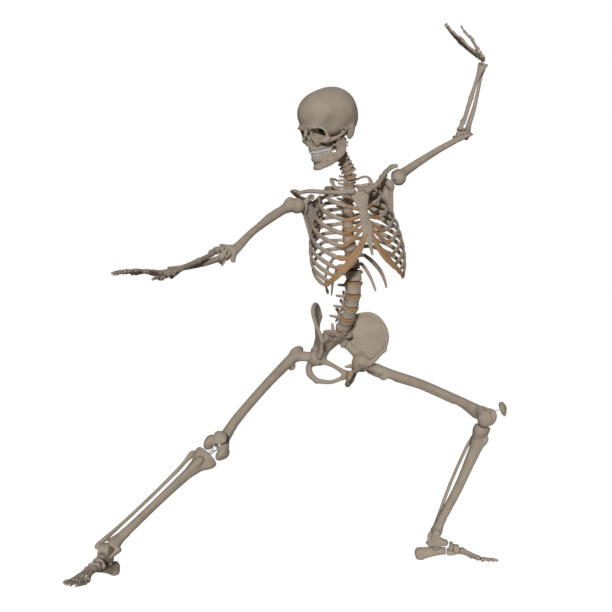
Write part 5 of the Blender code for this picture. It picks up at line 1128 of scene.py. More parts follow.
def vertebra(wide, deep, tall, hole, pedicle, tip, wing, thick):
    """Drum in front, then an arch round the canal with its seven processes."""
    rear, low = deep * 0.8 + 2 * hole, -tall * 0.2
    s = Shape().add(puck(wide, deep, tall), blend=0)
    for m in (1, -1):
        root = Vector((m * pedicle, deep * 0.5, tall * 0.16))
        bend = Vector((m * pedicle, deep * 0.8 + hole * 0.9, tall * 0.1))
        s.add(limb([root, bend], [(thick * 0.9, tall * 0.24)] * 2), blend=3)
        s.add(limb([bend, (m * pedicle * 0.5, rear - thick * 0.3, low * 0.6), (0, rear, low)],
                   [(thick * 0.75, tall * 0.3), (thick * 0.7, tall * 0.36),
                    (thick * 0.8, tall * 0.36)]), blend=2.5)
        s.add(limb([bend, (m * wing[0], wing[1], wing[2])],
                   [(thick * 0.8, thick), (thick * 0.6, thick * 0.8)]), blend=3)
        s.add(limb([bend, bend + Vector((m, 1.5, tall * 0.48))], [thick, thick * 0.7]), blend=3)
        s.add(limb([bend + Vector((0, thick * 0.6, 0)),
                    bend + Vector((-m * 2.5, thick * 0.9, -tall * 0.72))], [thick, thick * 0.66]),
              blend=3)
    s.add(limb([(0, rear, low * 0.6), tip], [(thick * 0.66, tall * 0.3),
                                             (thick * 0.55, tall * 0.2)], steps=1), blend=3)
    s.add(lump(tip, (thick * 0.7, thick * 0.8, tall * 0.24)), blend=3)
    s.cut(bore((0, deep * 0.74 + hole, -60), (0, deep * 0.74 + hole, 60), hole), blend=2)
    return s


def spine_frame(start, end, t):
    """Frame at t on the curve that leaves start and reaches end along their Z axes."""
    p0, p1 = start.translation, end.translation
    length = (p1 - p0).length
    m0, m1 = start.to_3x3().col[2] * length, end.to_3x3().col[2] * length
    place = (p0 * (2 * t ** 3 - 3 * t ** 2 + 1) + m0 * (t ** 3 - 2 * t ** 2 + t)
             + p1 * (3 * t ** 2 - 2 * t ** 3) + m1 * (t ** 3 - t ** 2))
    turn = start.to_quaternion().slerp(end.to_quaternion(), t)
    return Matrix.Translation(place) @ turn.to_matrix().to_4x4()


def seated(skin, place):
    """A skin moved to its own frame."""
    corners, faces = skin
    turn, shift = np.array(place.to_3x3()), np.array(place.translation)
    return corners @ turn.T + shift, faces


def disc_skin(wide, deep, tall, place, grain):
    """Soft disc with a bulging rim."""
    s = Shape().add(puck(wide, deep, tall, waist=-0.05), blend=0)
    return seated(s.skin(grain, 1, coarse=1), place)


def make_lumbar():
    """Five lumbar vertebrae on the waist's axis, each a piece, and their discs."""
    top = frames["lumbar"].inverted() @ frames["thorax"]
    discs = []
    for level in range(5):
        share = (level + 0.5) / 5
        tall = 28.5 if level else 34
        place = spine_frame(turned(x=30), top, share + (0.012 if level else -0.02))
        s = vertebra(23.5, 17, tall, 9, 14.5, (0, 66, -7), (41 - level * 0.8, 30, 3), 5.0)
        if level == 0:
            seat = place.inverted()
            s.add(lump(seat.translation, (23.6, 18.2, 18.2), seat.to_3x3().to_4x4()), blend=3)
        bone_piece("lumbar_vertebra_%d" % (5 - level), "lumbar", [seated(s.skin(1.2, 2), place)])
        if level:
            discs.append(disc_skin(23.6, 17, 8.6, spine_frame(turned(x=30), top, level / 5), 1.0))
    s = Shape().add(lump((0, 0, 0), (25.4, 20, 20)), blend=0)
    s.cut(beyond((0, 0, -8), (0, 0.2, -1)), beyond((0, 0, -17), (0, -0.2, 1)), blend=4)
    discs.append(s.skin(1.0, 1))
    discs.append(disc_skin(22.5, 16.5, 5.5, top @ moved(0, 0, -3.4), 1.0))
    bone_piece("lumbar_discs", "lumbar", discs, nodes=(), slot="cartilage")


def thoracic_y(z):
    """How far back the chest's curve lies at a height."""
    share = z / THORAX_TALL
    return -20 * share + 36 * math.sin(math.pi * share)


def thoracic_level(number):
    """Height of the middle of thoracic vertebra number."""
    below = sum(THORACIC_STEP[:12 - number])
    return STEP_SCALE * (below + THORACIC_STEP[12 - number] / 2)


def thoracic_place(z):
    slope = math.atan2(thoracic_y(z + 1) - thoracic_y(z - 1), 2)
    return moved(0, thoracic_y(z), z) @ turned(x=-math.degrees(slope))


def make_thoracic_spine():
    """Twelve vertebrae that carry the ribs, and the discs between them."""
    skins, discs = [], []
    for number in range(12, 0, -1):
        z, share = thoracic_level(number), (12 - number) / 11
        step = THORACIC_STEP[12 - number] * STEP_SCALE
        wide, deep = 20 - 6.5 * share, 15 - 4 * share
        drop = 8 if number in (1, 11, 12) else 22 - 6 * abs(share - 0.5)
        rear = deep * 0.8 + 14
        s = vertebra(wide, deep, step - 4.6, 7.5, wide * 0.5 + 1, (0, rear + 22, -drop),
                     (27 - 2 * abs(share - 0.5), rear - 1, 4), 4.0)
        if number == 1:
            s.cut(bore((-40, -20 - thoracic_y(z), THORAX_TALL - z),
                       (40, -20 - thoracic_y(z), THORAX_TALL - z), 12.5), blend=1)
        if number == 12:
            s.cut(beyond((0, 0, 0.3 - z), (0, 0, 1)), blend=1)
        skins.append(seated(s.skin(1.0, 2), thoracic_place(z)))
        if number < 12:
            discs.append(disc_skin(wide + 0.6, deep + 0.2, 5.2,
                                   thoracic_place(z - step / 2 - 0.3), 0.9))
    bone_piece("thoracic_vertebrae", "thorax", skins, nodes=["rib_cage"])
    bone_piece("thoracic_discs", "thorax", discs, nodes=["rib_cage"], slot="cartilage")


def neck_frame(t):
    """Frame at t on the neck's curve, from its foot to just under the atlas."""
    return spine_frame(turned(x=8), moved(0, -12, NECK_TALL - 7) @ turned(x=-14), t)


def make_neck():
    """Neck vertebrae 7 to 3 from the chest up, their discs, then the axis."""
    skins, discs = [], []
    for i in range(5):
        t = 0.1 + 0.9 * (i + 0.5) / 6
        wide, deep, reach = 13.5 - i * 0.8, 9 - i * 0.3, (44, 38, 31, 29, 29)[i]
        s = vertebra(wide, deep, 12.5, 7, 12.5 - i * 0.4, (0, reach, -6), (21 - i, 6, 0), 3.4)
        for m in (1, -1):
            s.add(limb([(m * 9, -2, 0), (m * (19 - i), 2, -1)], [(3, 3.4), (3, 3)]), blend=3)
            s.cut(bore((m * (15 - i * 0.6), 3.4, -30), (m * (15 - i * 0.6), 3.4, 30), 2.4),
                  blend=1)
            if i:
                s.add(lump((m * 3, reach, -6.5), (2.4, 4, 3)), blend=2)
        if i == 0:
            s.cut(bore((-60, 0, -15.5), (60, 0, -15.5), 10), blend=1)
        skins.append(seated(s.skin(0.9, 2), neck_frame(t)))
        if i:
            discs.append(disc_skin(wide + 0.6, deep, 4, neck_frame(t - 0.075), 0.8))
    discs.append(disc_skin(10.2, 7.8, 3.6, neck_frame(0.843) @ moved(0, 0, -1), 0.8))
    across = (frames["neck"].inverted() @ frames["thorax"]).to_3x3().col[0] * 13
    for radius, top, low, kind in ((11.8, 3.6, -1.2, discs), (11.4, 0, -30, skins)):
        s = Shape().add(bore(-across, across, radius), blend=0)
        s.cut(beyond((0, 0, top), (0, 0, -1)), beyond((0, 0, low), (0, 0, 1)), blend=2)
        s.cut(beyond((0, 10.5, 0), (0, -1, 0)), beyond((0, -10.5, 0), (0, 1, 0)), blend=2)
        kind.append(s.skin(0.8, 1))
    bone_piece("neck_vertebrae", "neck", skins, nodes=["cervical_vertebrae"])
    bone_piece("neck_discs", "neck", discs, nodes=["cervical_vertebrae"], slot="cartilage")
    make_axis()


def make_axis():
    """Second neck vertebra, with the peg that the atlas turns on."""
    s = Shape().add(limb([neck_frame(0.86) @ Vector((0, 0, 2.6)), (0, -9, NECK_TALL - 8),
                          (0, -12, NECK_TALL - 4)], [(9.5, 7), (9, 7.5), (8, 7.5)],
                         reference=(0, 1, 0)), blend=0)
    for m in (1, -1):
        s.add(lump((m * 15, -8, NECK_TALL - 4.5), (9.4, 8.4, 4.4)), blend=4)
        s.add(limb([(m * 15, -4, NECK_TALL - 6), (m * 12, 10, NECK_TALL - 10),
                    (0, 20, NECK_TALL - 15)], [(4, 4.5), (3, 5.5), (3.6, 6.5)]), blend=3)
        s.add(limb([(m * 15, -4, NECK_TALL - 9), (m * 24, 0, NECK_TALL - 12)], [3.4, 2.6]), blend=3)
        s.add(lump((m * 3.4, 31, NECK_TALL - 21), (3, 5, 4)), blend=3)
    s.add(limb([(0, 18, NECK_TALL - 15), (0, 30, NECK_TALL - 20)], [(3.4, 6), (3, 4.6)]), blend=3)
    s.cut(brick((-40, -3.5, NECK_TALL - 0.3), (40, 60, NECK_TALL + 40), 1), blend=1)
    for m in (1, -1):
        s.cut(brick((m * 22 - 15.4, -60, NECK_TALL - 0.3), (m * 22 + 15.4, 20, NECK_TALL + 30), 1),
              blend=0.5)
    s.add(limb([(0, -12, NECK_TALL - 6), (0, -12, NECK_TALL + 13)], [4.4, 3.8]), blend=3)
    bone_piece("axis_vertebra", "neck", [s.skin(0.9, 2)])


def make_atlas():
    """Ring under the skull, with a seat for the head's nod and a hole for the axis peg."""
    s = Shape()
    ring = [(20 * math.sin(a), 9 - 20 * math.cos(a), 8)
            for a in (2 * math.pi * i / 24 for i in range(25))]
    s.add(limb(ring, [(3.2, 4.6)] * 25), blend=0)
    for m in (1, -1):
        s.add(lump((m * 18.5, 3, 8), (8.6, 11, 9.5)), blend=3)
        s.add(limb([(m * 22, 5, 8), (m * 36, 9, 7)], [4.5, 3.4]), blend=3)
        s.cut(bore((m * 28, 6, -20), (m * 28, 6, 40), 2.6), blend=1)
    s.cut(beyond((0, 0, 0.4), (0, 0, 1)), blend=1)
    head = frames["atlas"].inverted() @ frames["head"]
    across, centre = head.to_3x3().col[0] * 50, head.translation
    s.cut(bore(centre - across, centre + across, 12.6), blend=1)
    s.cut(bore((0, 0, -20), (0, 0, 40), 6.2), blend=1)
    bone_piece("atlas_vertebra", "atlas", [s.skin(0.8, 2)])


# ---------------------------------------------------------------- swept ribs and cartilage
# per rib: half width, front Y, fall from spine to front end, angle where bone ends
RIBS = [(58, -66, 34, 150), (82, -86, 52, 152), (102, -100, 70, 150), (116, -112, 86, 147),
        (127, -122, 98, 144), (134, -129, 108, 141), (139, -134, 112, 137), (141, -136, 108, 131),
        (140, -134, 100, 124), (136, -128, 88, 116), (92, -62, 98, 100), (72, -20, 84, 75)]
RIB_RISE = {1: 15, 2: 12, 3: 7}      # ribs that climb before they fall
# breastbone: height, half width, half thickness, from the top down
STERNUM = [(225, 23, 5.5), (216, 27, 6), (196, 20, 5.5), (178, 14, 5.5), (150, 15, 5),
           (116, 18, 5), (94, 14, 4.5), (82, 7, 3.5), (54, 4, 2.6)]
CARTILAGE_SEATS = (213, 178, 160, 142, 126, 112, 100)     # where ribs 1 to 7 meet it


def rib_path(number, k, steps=9):
    """Points along a rib, from the spine round to its bony end."""
    width, front, fall, last = RIBS[number - 1]
    z = thoracic_level(number)
    spine = thoracic_y(z)
    back = spine + 31
    centre, depth = (back + front) / 2, (back - front) / 2
    path = [Vector((k * 9, spine + 5, z)), Vector((k * 24, spine + 18, z + 1))]
    for i in range(steps + 1):
        share = i / steps
        angle = math.radians(30 + (last - 30) * share)
        climb = RIB_RISE.get(number, 0) * math.sin(math.pi * min(share * 1.5, 1))
        path.append(Vector((k * width * math.sin(angle), centre + depth * math.cos(angle),
                            z + climb - fall * share ** 1.15)))
    return path


def sternum_y(z):
    return -85 - (225 - z) * 0.41


def sternum_half(z):
    return next(wide for level, wide, _ in STERNUM if level <= z)


def cartilage_path(number, k):
    """Points from a rib's bony end to the breastbone, or to the cartilage above."""
    bony = rib_path(number, k)
    end, before = bony[-1], bony[-2]
    start = end - (end - before).normalized() * 4
    if number <= 7:
        seat = CARTILAGE_SEATS[number - 1]
        goal = Vector((k * (sternum_half(seat) - 4), sternum_y(seat), seat))
    else:
        goal = cartilage_path(number - 1, k)[3]
    firm = 0.5 if number in (1, 6, 7, 8, 9, 10) else 0.28
    bend = start + (end - before).normalized() * (goal - start).length * firm
    return [start] + [(start * (1 - t) ** 2 + bend * 2 * t * (1 - t) + goal * t * t)
                      for t in (0.17, 0.35, 0.52, 0.7, 0.85, 1.0)]


def growing_tree(name, numbers):
    """Node tree with number inputs and a finish; also its group input and socket names."""
    tree = bpy.data.node_groups.new(name, "GeometryNodeTree")
    panel, sockets = tree.interface, {}
    panel.new_socket("Geometry", in_out="INPUT", socket_type="NodeSocketGeometry")
    for label in (*numbers, "Finish"):
        kind = "NodeSocketMaterial" if label == "Finish" else "NodeSocketFloat"
        socket = panel.new_socket(label, in_out="INPUT", socket_type=kind)
        sockets[label] = socket.identifier
    panel.new_socket("Geometry", in_out="OUTPUT", socket_type="NodeSocketGeometry")
    return tree, tree.nodes.new("NodeGroupInput"), sockets


def close_tree(tree, source, geometry):
    """Last two steps of a tree: realize the instances, then set the finish."""
    real, finish = add_nodes(tree, "GeometryNode", "RealizeInstances", "SetMaterial")
    result = tree.nodes.new("NodeGroupOutput")
    tree.links.new(geometry, real.inputs["Geometry"])
    wire(real, "Geometry", finish, "Geometry")
    wire(source, "Finish", finish, "Material")
    wire(finish, "Geometry", result, "Geometry")


def sweep_tree():
    """Oval bar swept along curves: half width, half height and step length are inputs."""
    tree, source, sockets = growing_tree("swept bone", ("Half Thickness", "Half Height", "Step"))
    even, oval, size, skin, taper = add_nodes(
        tree, "GeometryNode", "ResampleCurve", "CurvePrimitiveCircle", "Transform", "CurveToMesh",
        "InputRadius")
    shape = tree.nodes.new("ShaderNodeCombineXYZ")
    even.mode = "LENGTH"
    wire(source, "Geometry", even, "Curve")
    wire(source, "Step", even, "Length")
    fill(oval, {"Resolution": 14, "Radius": 1.0})
    wire(source, "Half Thickness", shape, "X")
    wire(source, "Half Height", shape, "Y")
    fill(shape, {"Z": 1})
    wire(oval, "Curve", size, "Geometry")
    wire(shape, "Vector", size, "Scale")
    wire(even, "Curve", skin, "Curve")
    wire(size, "Geometry", skin, "Profile Curve")
    wire(taper, "Radius", skin, "Scale")
    fill(skin, {"Fill Caps": True})
    close_tree(tree, source, skin.outputs["Mesh"])
    return tree, sockets


def grown(obj, tree, sockets, values):
    """Plain mesh from an object run through a node tree."""
    change = obj.modifiers.new("grow", "NODES")
    change.node_group = tree
    for label, value in values.items():
        change[sockets[label]] = value
    graph = bpy.context.evaluated_depsgraph_get()
    mesh = bpy.data.meshes.new_from_object(obj.evaluated_get(graph))
    bpy.data.objects.remove(obj)
    return mesh


def curves_object(runs):
    """Curve object of several runs, each a list of (point, taper, tilt), in millimetres."""
    data = bpy.data.curves.new("runs", "CURVE")
    data.dimensions = "3D"
    data.twist_mode = "Z_UP"
    for run in runs:
        spline = data.splines.new("POLY")
        spline.points.add(len(run) - 1)
        for spot, (p, taper, tilt) in zip(spline.points, run):
            spot.co, spot.radius, spot.tilt = (*p, 1), taper, tilt
    obj = bpy.data.objects.new("runs", data)
    bpy.context.scene.collection.objects.link(obj)
    return obj


def rib_run(number, k):
    """A rib from head to bony end, with its neck, tubercle and rounded tip."""
    path = smooth_path(rib_path(number, k, 12), 4)
    last = len(path) - 1
    run = []
    for i, p in enumerate(path):
        taper = 0.86 if i < 2 else 0.66 if i < 5 else 0.92 if i < 8 else 0.84
        taper += 0.18 * min(max(i - 8, 0) / 14, 1)
        tilt = 0.0
        if number == 1:
            tilt = math.pi / 2 * min(i / 8, 1) * 0.9
        if number == 12:
            taper *= 1 - 0.45 * i / last
        taper *= min(1, 0.35 + 0.4 * i) * min(1, 0.5 + 0.3 * (last - i))
        run.append((p, taper, tilt))
    return run


def cartilage_run(number, k):
    """A rib's cartilage, a little thinner towards its far end."""
    path = smooth_path(cartilage_path(number, k), 4)
    small = 1.0 if number <= 7 else 0.78
    last = len(path) - 1
    return [(p, small * (1.02 - 0.1 * i / last) * min(1, 0.8 + 0.2 * i), 0.0)
            for i, p in enumerate(path)]


def make_ribs():
    """Twelve pairs of ribs, the cartilage of ten, and the webs that join the lower ones."""
    tree, sockets = sweep_tree()
    for name, count, run_of, half_thick, half_tall, step, node, slot in (
            ("ribs", 12, rib_run, 3.1, 6.4, 2.6, "rib_cage", "bone"),
            ("costal_cartilages", 10, cartilage_run, 3.3, 5.8, 2.2,
             "sternum_and_costal_cartilage", "cartilage")):
        runs = [run_of(number + 1, k) for number in range(count) for k in (LEFT, RIGHT)]
        mesh = grown(curves_object(runs), tree, sockets,
                     {"Half Thickness": half_thick, "Half Height": half_tall,
                      "Step": step * COARSE, "Finish": FINISHES[slot]})
        mesh.transform(in_metres(frames["thorax"]))
        mount(name, mesh, "thorax", [node], slot)
    webs = []
    for k in (LEFT, RIGHT):
        p6, p7, p8, p9, p10 = (cartilage_path(n, k) for n in (6, 7, 8, 9, 10))
        edge = [p6[6], p6[4], p6[3], p6[2], p7[1], p8[1], p9[1], p10[1], p10[3], p9[3], p8[3],
                p7[3], p7[4], p7[6]]
        web = Shape().add(blade(edge, [p6[5], p7[2], p8[2], p9[2]], (-k * 0.35, -1, 0), (0, 0, 1),
                                7.0), blend=0)
        webs.append(web.skin(1.0, 1))
    bone_piece("costal_webs", "thorax", webs, nodes=["sternum_and_costal_cartilage"],
               slot="cartilage")


def make_sternum():
    """Breastbone, notched for the collar bones and the cartilages."""
    s = Shape()
    s.add(limb([(0, sternum_y(z), z) for z, _, _ in STERNUM], [(w, t) for _, w, t in STERNUM],
               reference=(0, 1, 0), steps=3), blend=0)
    for k in (LEFT, RIGHT):
        s.cut(lump(clavicle_ends(k)[0], 10.2), blend=1.5)
        for seat in CARTILAGE_SEATS[1:]:
            s.cut(lump((k * (sternum_half(seat) + 7.4), sternum_y(seat), seat), (8, 9, 5.6)),
                  blend=2)
    s.cut(lump((0, sternum_y(230), 236), (10, 12, 9)), blend=3)
    s.add(limb([(-17, sternum_y(183) - 4.6, 183), (17, sternum_y(183) - 4.6, 183)], [2.2, 2.2]),
          blend=4)
    bone_piece("sternum", "thorax", [s.skin(1.1, 2)], nodes=["sternum_and_costal_cartilage"])


# ---------------------------------------------------------------- shoulder girdle
# the shoulder's middle in the chest's frame, and how far the blade is raised, in degrees
SHOULDER = {LEFT: (155, -5, 258), RIGHT: (-165, -15, 200)}
BLADE_RISE = {LEFT: 32, RIGHT: 12}


def clavicle_ends(k):
    return Vector((k * 23, -90, 230)), Vector(SHOULDER[k]) + Vector((-k * 8, -2, 36))


def make_clavicle(k):
    """Collar bone, an S from the breastbone to the tip of the blade."""
    start, end = clavicle_ends(k)
    path = [start, start.lerp(end, 0.28) + Vector((0, -15, -2)), start.lerp(end, 0.52),
            start.lerp(end, 0.76) + Vector((0, 13, 4)), end]
    s = Shape().add(limb(path, [(9, 8.6), (7.4, 7), (7.2, 6.4), (9, 6), (8.4, 5)], steps=4),
                    blend=0)
    s.add(lump(start, (9.4, 9, 9.3)), blend=5)
    s.add(lump(end, (6.6, 6.4, 5.4)), blend=4)
    bone_piece(WORD[k] + "_clavicle", "thorax", [s.skin(1.1, 2)])


def scapula_shape(end, start):
    """Left shoulder blade; end and start are the collar bone's ends in its frame."""
    s = Shape()
    outline = [(-38, 2, 13), (-62, 4, 18), (-92, 7, 34), (-119, 10, 49), (-127, 8, 24),
               (-131, 6, -6), (-127, 8, -44), (-116, 10, -80), (-103, 12, -107), (-90, 11, -92),
               (-68, 7, -58), (-46, 3, -26), (-38, 2, -12)]
    spots = [(-84, 1, -10), (-100, 3, -50), (-70, 1, 0), (-108, 4, 20), (-88, 3, -60)]
    s.add(blade(outline, spots, (0, 1, 0), (0, 0, 1), 2.6, 1.3, 6), blend=0)
    s.add(limb([(-36, 2, -14), (-68, 7, -60), (-101, 11, -104)], [5, 3.8, 4]), blend=6)
    s.add(limb([(-130, 6, -8), (-126, 9, 30), (-119, 11, 48)], [3, 3, 3]), blend=5)
    s.add(lump((-32, 0, 0), (11, 12.5, 18)), blend=7)
    s.add(limb([(-125, 9, 18), (-86, 20, 26), (-48, 32, 34), (-22, 34, 42), (-4, 19, 44),
                (2, 5, 42)], [(3.4, 3), (3.2, 5), (3.6, 6.5), (6, 4.4), (9.5, 4), (7, 3.4)],
               steps=3), blend=3)
    ridge = [(-122, 7, 18), (-84, 3, 20), (-50, 2, 18), (-42, 16, 25), (-44, 31, 33),
             (-84, 20, 26)]
    s.add(blade(ridge, [(-70, 10, 22)], (0, -0.4, 1), (0, 1, 0), 2.6, 0.4, 5), blend=4)
    s.add(limb([(-8, 20, 43), (-2, 10, 43), end], [(6, 3.6), (7, 4), (6, 4)]), blend=4)
    s.add(limb([(-36, -1, 15), (-37, -17, 31), (-29, -31, 30), (-19, -39, 22)],
               [(9, 8), (7, 6), (6, 5), (4.6, 4.4)], steps=3), blend=5)
    s.cut(lump((0, 0, 0), 23.8), blend=1.5)
    s.cut(bore((0, 0, 0), (-31, 0, 0), 3.3), blend=0.5)
    inward = (start - end).normalized()
    s.cut(lump(end, 7.3), bore(end, end + inward * 30, 8.4), blend=1)
    return s


def make_scapula(k):
    local = moved(*SHOULDER[k]) @ turned(z=-k * 35) @ turned(y=-k * BLADE_RISE[k])
    start, end = (mirror_point(local.inverted() @ p, k) for p in clavicle_ends(k))
    skin = scapula_shape(end, start).skin(1.1, 2)
    bone_piece(WORD[k] + "_scapula", "thorax", [sided(skin, k)], frames["thorax"] @ local)


# ---------------------------------------------------------------- pelvis
HIP = 87.5       # from the middle to each hip's centre


def make_sacrum():
    """Sacrum with its holes, three tail bones, and the disc between the hip bones."""
    s = Shape()
    s.add(limb([(0, 24, 90), (0, 42, 66), (0, 62, 40), (0, 75, 12), (0, 74, -2)],
               [(25, 13), (34, 13), (27, 10.5), (15, 7), (9, 5)], reference=(0, 1, 0), steps=4),
          blend=0)
    for m in (1, -1):
        s.add(lump((m * 30, 34, 78), (19, 14, 13)), blend=8)
        s.add(lump((m * 38, 52, 54), (12, 12, 24)), blend=8)
        s.add(limb([(m * 16, 52, 82), (m * 17, 60, 96)], [5, 4]), blend=4)
    s.add(limb([(0, 50, 84), (0, 68, 60), (0, 80, 34)], [(3.6, 5), (3.4, 5), (3, 4)], steps=2),
          blend=5)
    path = smooth_path([(0, 42, 66), (0, 54, 51), (0, 65, 35), (0, 73, 18)], 1)
    for i, p in enumerate(path):
        for m in (1, -1):
            across = Vector((m * (19 - 2.6 * i), 0, 0))
            s.cut(bore(p + across + Vector((0, -26, 13)), p + across + Vector((0, 26, -13)),
                       3.8 - 0.4 * i), blend=2.5)
    lumbar = frames["pelvis"].inverted() @ frames["lumbar"]
    centre, across = lumbar.translation, lumbar.to_3x3().col[0] * 70
    s.cut(bore(centre - across, centre + across, 20.5), blend=1.5)
    for m in (1, -1):
        s.cut(brick((m * 43.7, 20, -60), (m * 120, 140, 160)), blend=1)
    tail = []
    for (y, z), (q, r), size in (((74, -5), (70, -13), 7), ((69.5, -15), (65, -21), 5.4),
                                 ((64, -22.6), (59.5, -27), 4)):
        bit = Shape().add(limb([(0, y, z), (0, q, r)], [(size, 3.6), (size * 0.7, 3)],
                               reference=(0, 1, 0)), blend=0)
        tail.append(bit.skin(0.9, 2))
    bone_piece("sacrum_and_coccyx", "pelvis", [s.skin(1.2, 2), *tail])
    s = Shape().add(brick((-2.7, -59, -42), (2.7, -45, -13), 2.6), blend=0)
    bone_piece("pubic_symphysis", "pelvis", [s.skin(0.9, 1)], slot="cartilage")


def hip_bone_shape(place_of_thigh):
    """Left hip bone: flared wing, socket and the ring round the lower opening."""
    s = Shape()
    outline = [(119, -47, 64), (129, -36, 84), (136, -22, 101), (138, -6, 117), (135, 11, 131),
               (126, 28, 143), (113, 42, 150), (96, 55, 149), (79, 67, 138), (59, 79, 119),
               (41, 88, 98), (40, 85, 74), (42, 78, 54), (56, 62, 38), (70, 46, 20), (84, 22, 2),
               (94, 0, 0), (99, -22, 10), (102, -35, 24), (110, -39, 42)]
    spots = [(112, -20, 76), (111, 4, 86), (99, 34, 87), (74, 56, 76), (98, -12, 34), (96, 4, 40),
             (86, 22, 38), (68, 40, 34), (124, 8, 112), (108, 36, 110)]
    s.add(blade(outline, spots, (0.86, 0.5, 0), (0, 0, 1), 4.4, 2.6, 7), blend=0)
    s.add(limb([(119, -47, 64), (136, -22, 101), (135, 11, 131), (113, 42, 150), (79, 67, 138),
                (41, 88, 98)], [(5, 5), (5.2, 5), (6, 5), (5.4, 5), (5.2, 5), (6.4, 7)], steps=3),
          blend=4)
    s.add(limb([(118, -46, 62), (110, -39, 42), (101, -34, 26), (97, -24, 12)], [5, 4.6, 7, 10],
               steps=2), blend=6)
    s.add(limb([(88, 12, 22), (66, 42, 32), (44, 68, 50)], [(11, 10), (8, 9), (7, 16)]), blend=9)
    s.add(lump((HIP - 5, 3, 3), (25, 29, 29)), blend=9)
    s.add(limb([(84, 16, -14), (86, 24, -34), (78, 20, -56), (60, 6, -69)],
               [(11, 14), (8.5, 11), (9.5, 12), (7.5, 9)], reference=(0, 1, 0), steps=3), blend=8)
    s.add(limb([(76, 34, -18), (66, 46, -26)], [7, 3.4]), blend=6)
    s.add(limb([(76, -16, -2), (46, -37, -8), (13, -51, -20)], [(10, 10), (6, 6), (6.5, 8)],
                steps=3), blend=7)
    s.add(lump((11, -52, -27), (8.5, 7.5, 15)), blend=4)
    s.add(limb([(11, -51, -36), (32, -28, -60), (60, 6, -70)], [(5, 6.5), (4.6, 6), (7, 8)],
               steps=3), blend=5)
    for swing, spread in ((0, 0), (-12, 0), (12, 0), (0, -12), (0, 12)):
        place = place_of_thigh(swing, spread)
        s.cut(limb([place @ Vector(p) for p in ((13, 2, -8), (30, 4, -20), (52, 8, -32))],
                   [17.6, 16.2, 21.5]), blend=2)
    s.cut(lump((HIP, 0, 0), 24.8), blend=1.2)
    s.cut(lump((HIP - 12, -4, -22), (13, 8, 9)), blend=3)
    s.cut(bore((HIP, 0, 0), (HIP - 26, 0, 0), 3.3), blend=0.5)
    s.cut(brick((-60, -140, -80), (3.1, 20, 60), 1), brick((-60, 20, -160), (44.3, 140, 160), 1),
          blend=1)
    return s


def make_hip_bone(k):
    """Hip bone, cleared for the thigh's neck at the joint's limits."""
    word = WORD[k]
    back = frames["pelvis"].inverted()
    hip_at = back @ frames[word + "_thigh"]
    axis_x = (back.to_3x3() @ joint_axis(word + "_hip_swing")).normalized()
    axis_y = (back.to_3x3() @ joint_axis(word + "_hip_spread")).normalized()
    centre = Matrix.Translation(hip_at.translation)

    def place_of_thigh(swing, spread):
        turn = (Matrix.Rotation(math.radians(swing), 4, axis_x)
                @ Matrix.Rotation(math.radians(spread), 4, axis_y))
        return mirror(k) @ centre @ turn @ centre.inverted() @ hip_at @ mirror(k)
    skin = hip_bone_shape(place_of_thigh).skin(1.3, 2)
    bone_piece(word + "_hip_bone", "pelvis", [sided(skin, k)])


# ---------------------------------------------------------------- skull
TOOTH_TOP, TOOTH_MEET, TOOTH_FOOT = -15.0, -25.0, -34.0     # gum, bite and gum levels
SKULL_SIZE = 0.945


def dental_arch(inset, z):
    """Points along the tooth row from the last left molar round to the last right one."""
    half = [(30, -45), (29, -57), (25.5, -70), (20, -82), (11, -92), (0, -96)]
    left = [Vector((x - inset * (x / 30), y + inset * (1 if x < 26 else 0.3), z))
            for x, y in half]
    return left + [Vector((-p.x, p.y, p.z)) for p in reversed(left[:-1])]


def brain_case(s):
    """Five lumps run together, pinched at the temples."""
    s.add(lump((0, -16, 78), (66, 84, 67)), blend=0)
    s.add(lump((0, 12, 80), (71.5, 67, 64)), blend=26)
    s.add(lump((0, -46, 84), (60, 55, 54)), blend=22)
    s.add(lump((0, 36, 48), (54, 42, 46)), blend=24)
    s.add(lump((0, -18, 40), (58, 62, 30)), blend=20)
    for m in (1, -1):
        s.cut(lump((m * 77, -64, 42), (19, 26, 30), turned(z=m * 16)), blend=16)


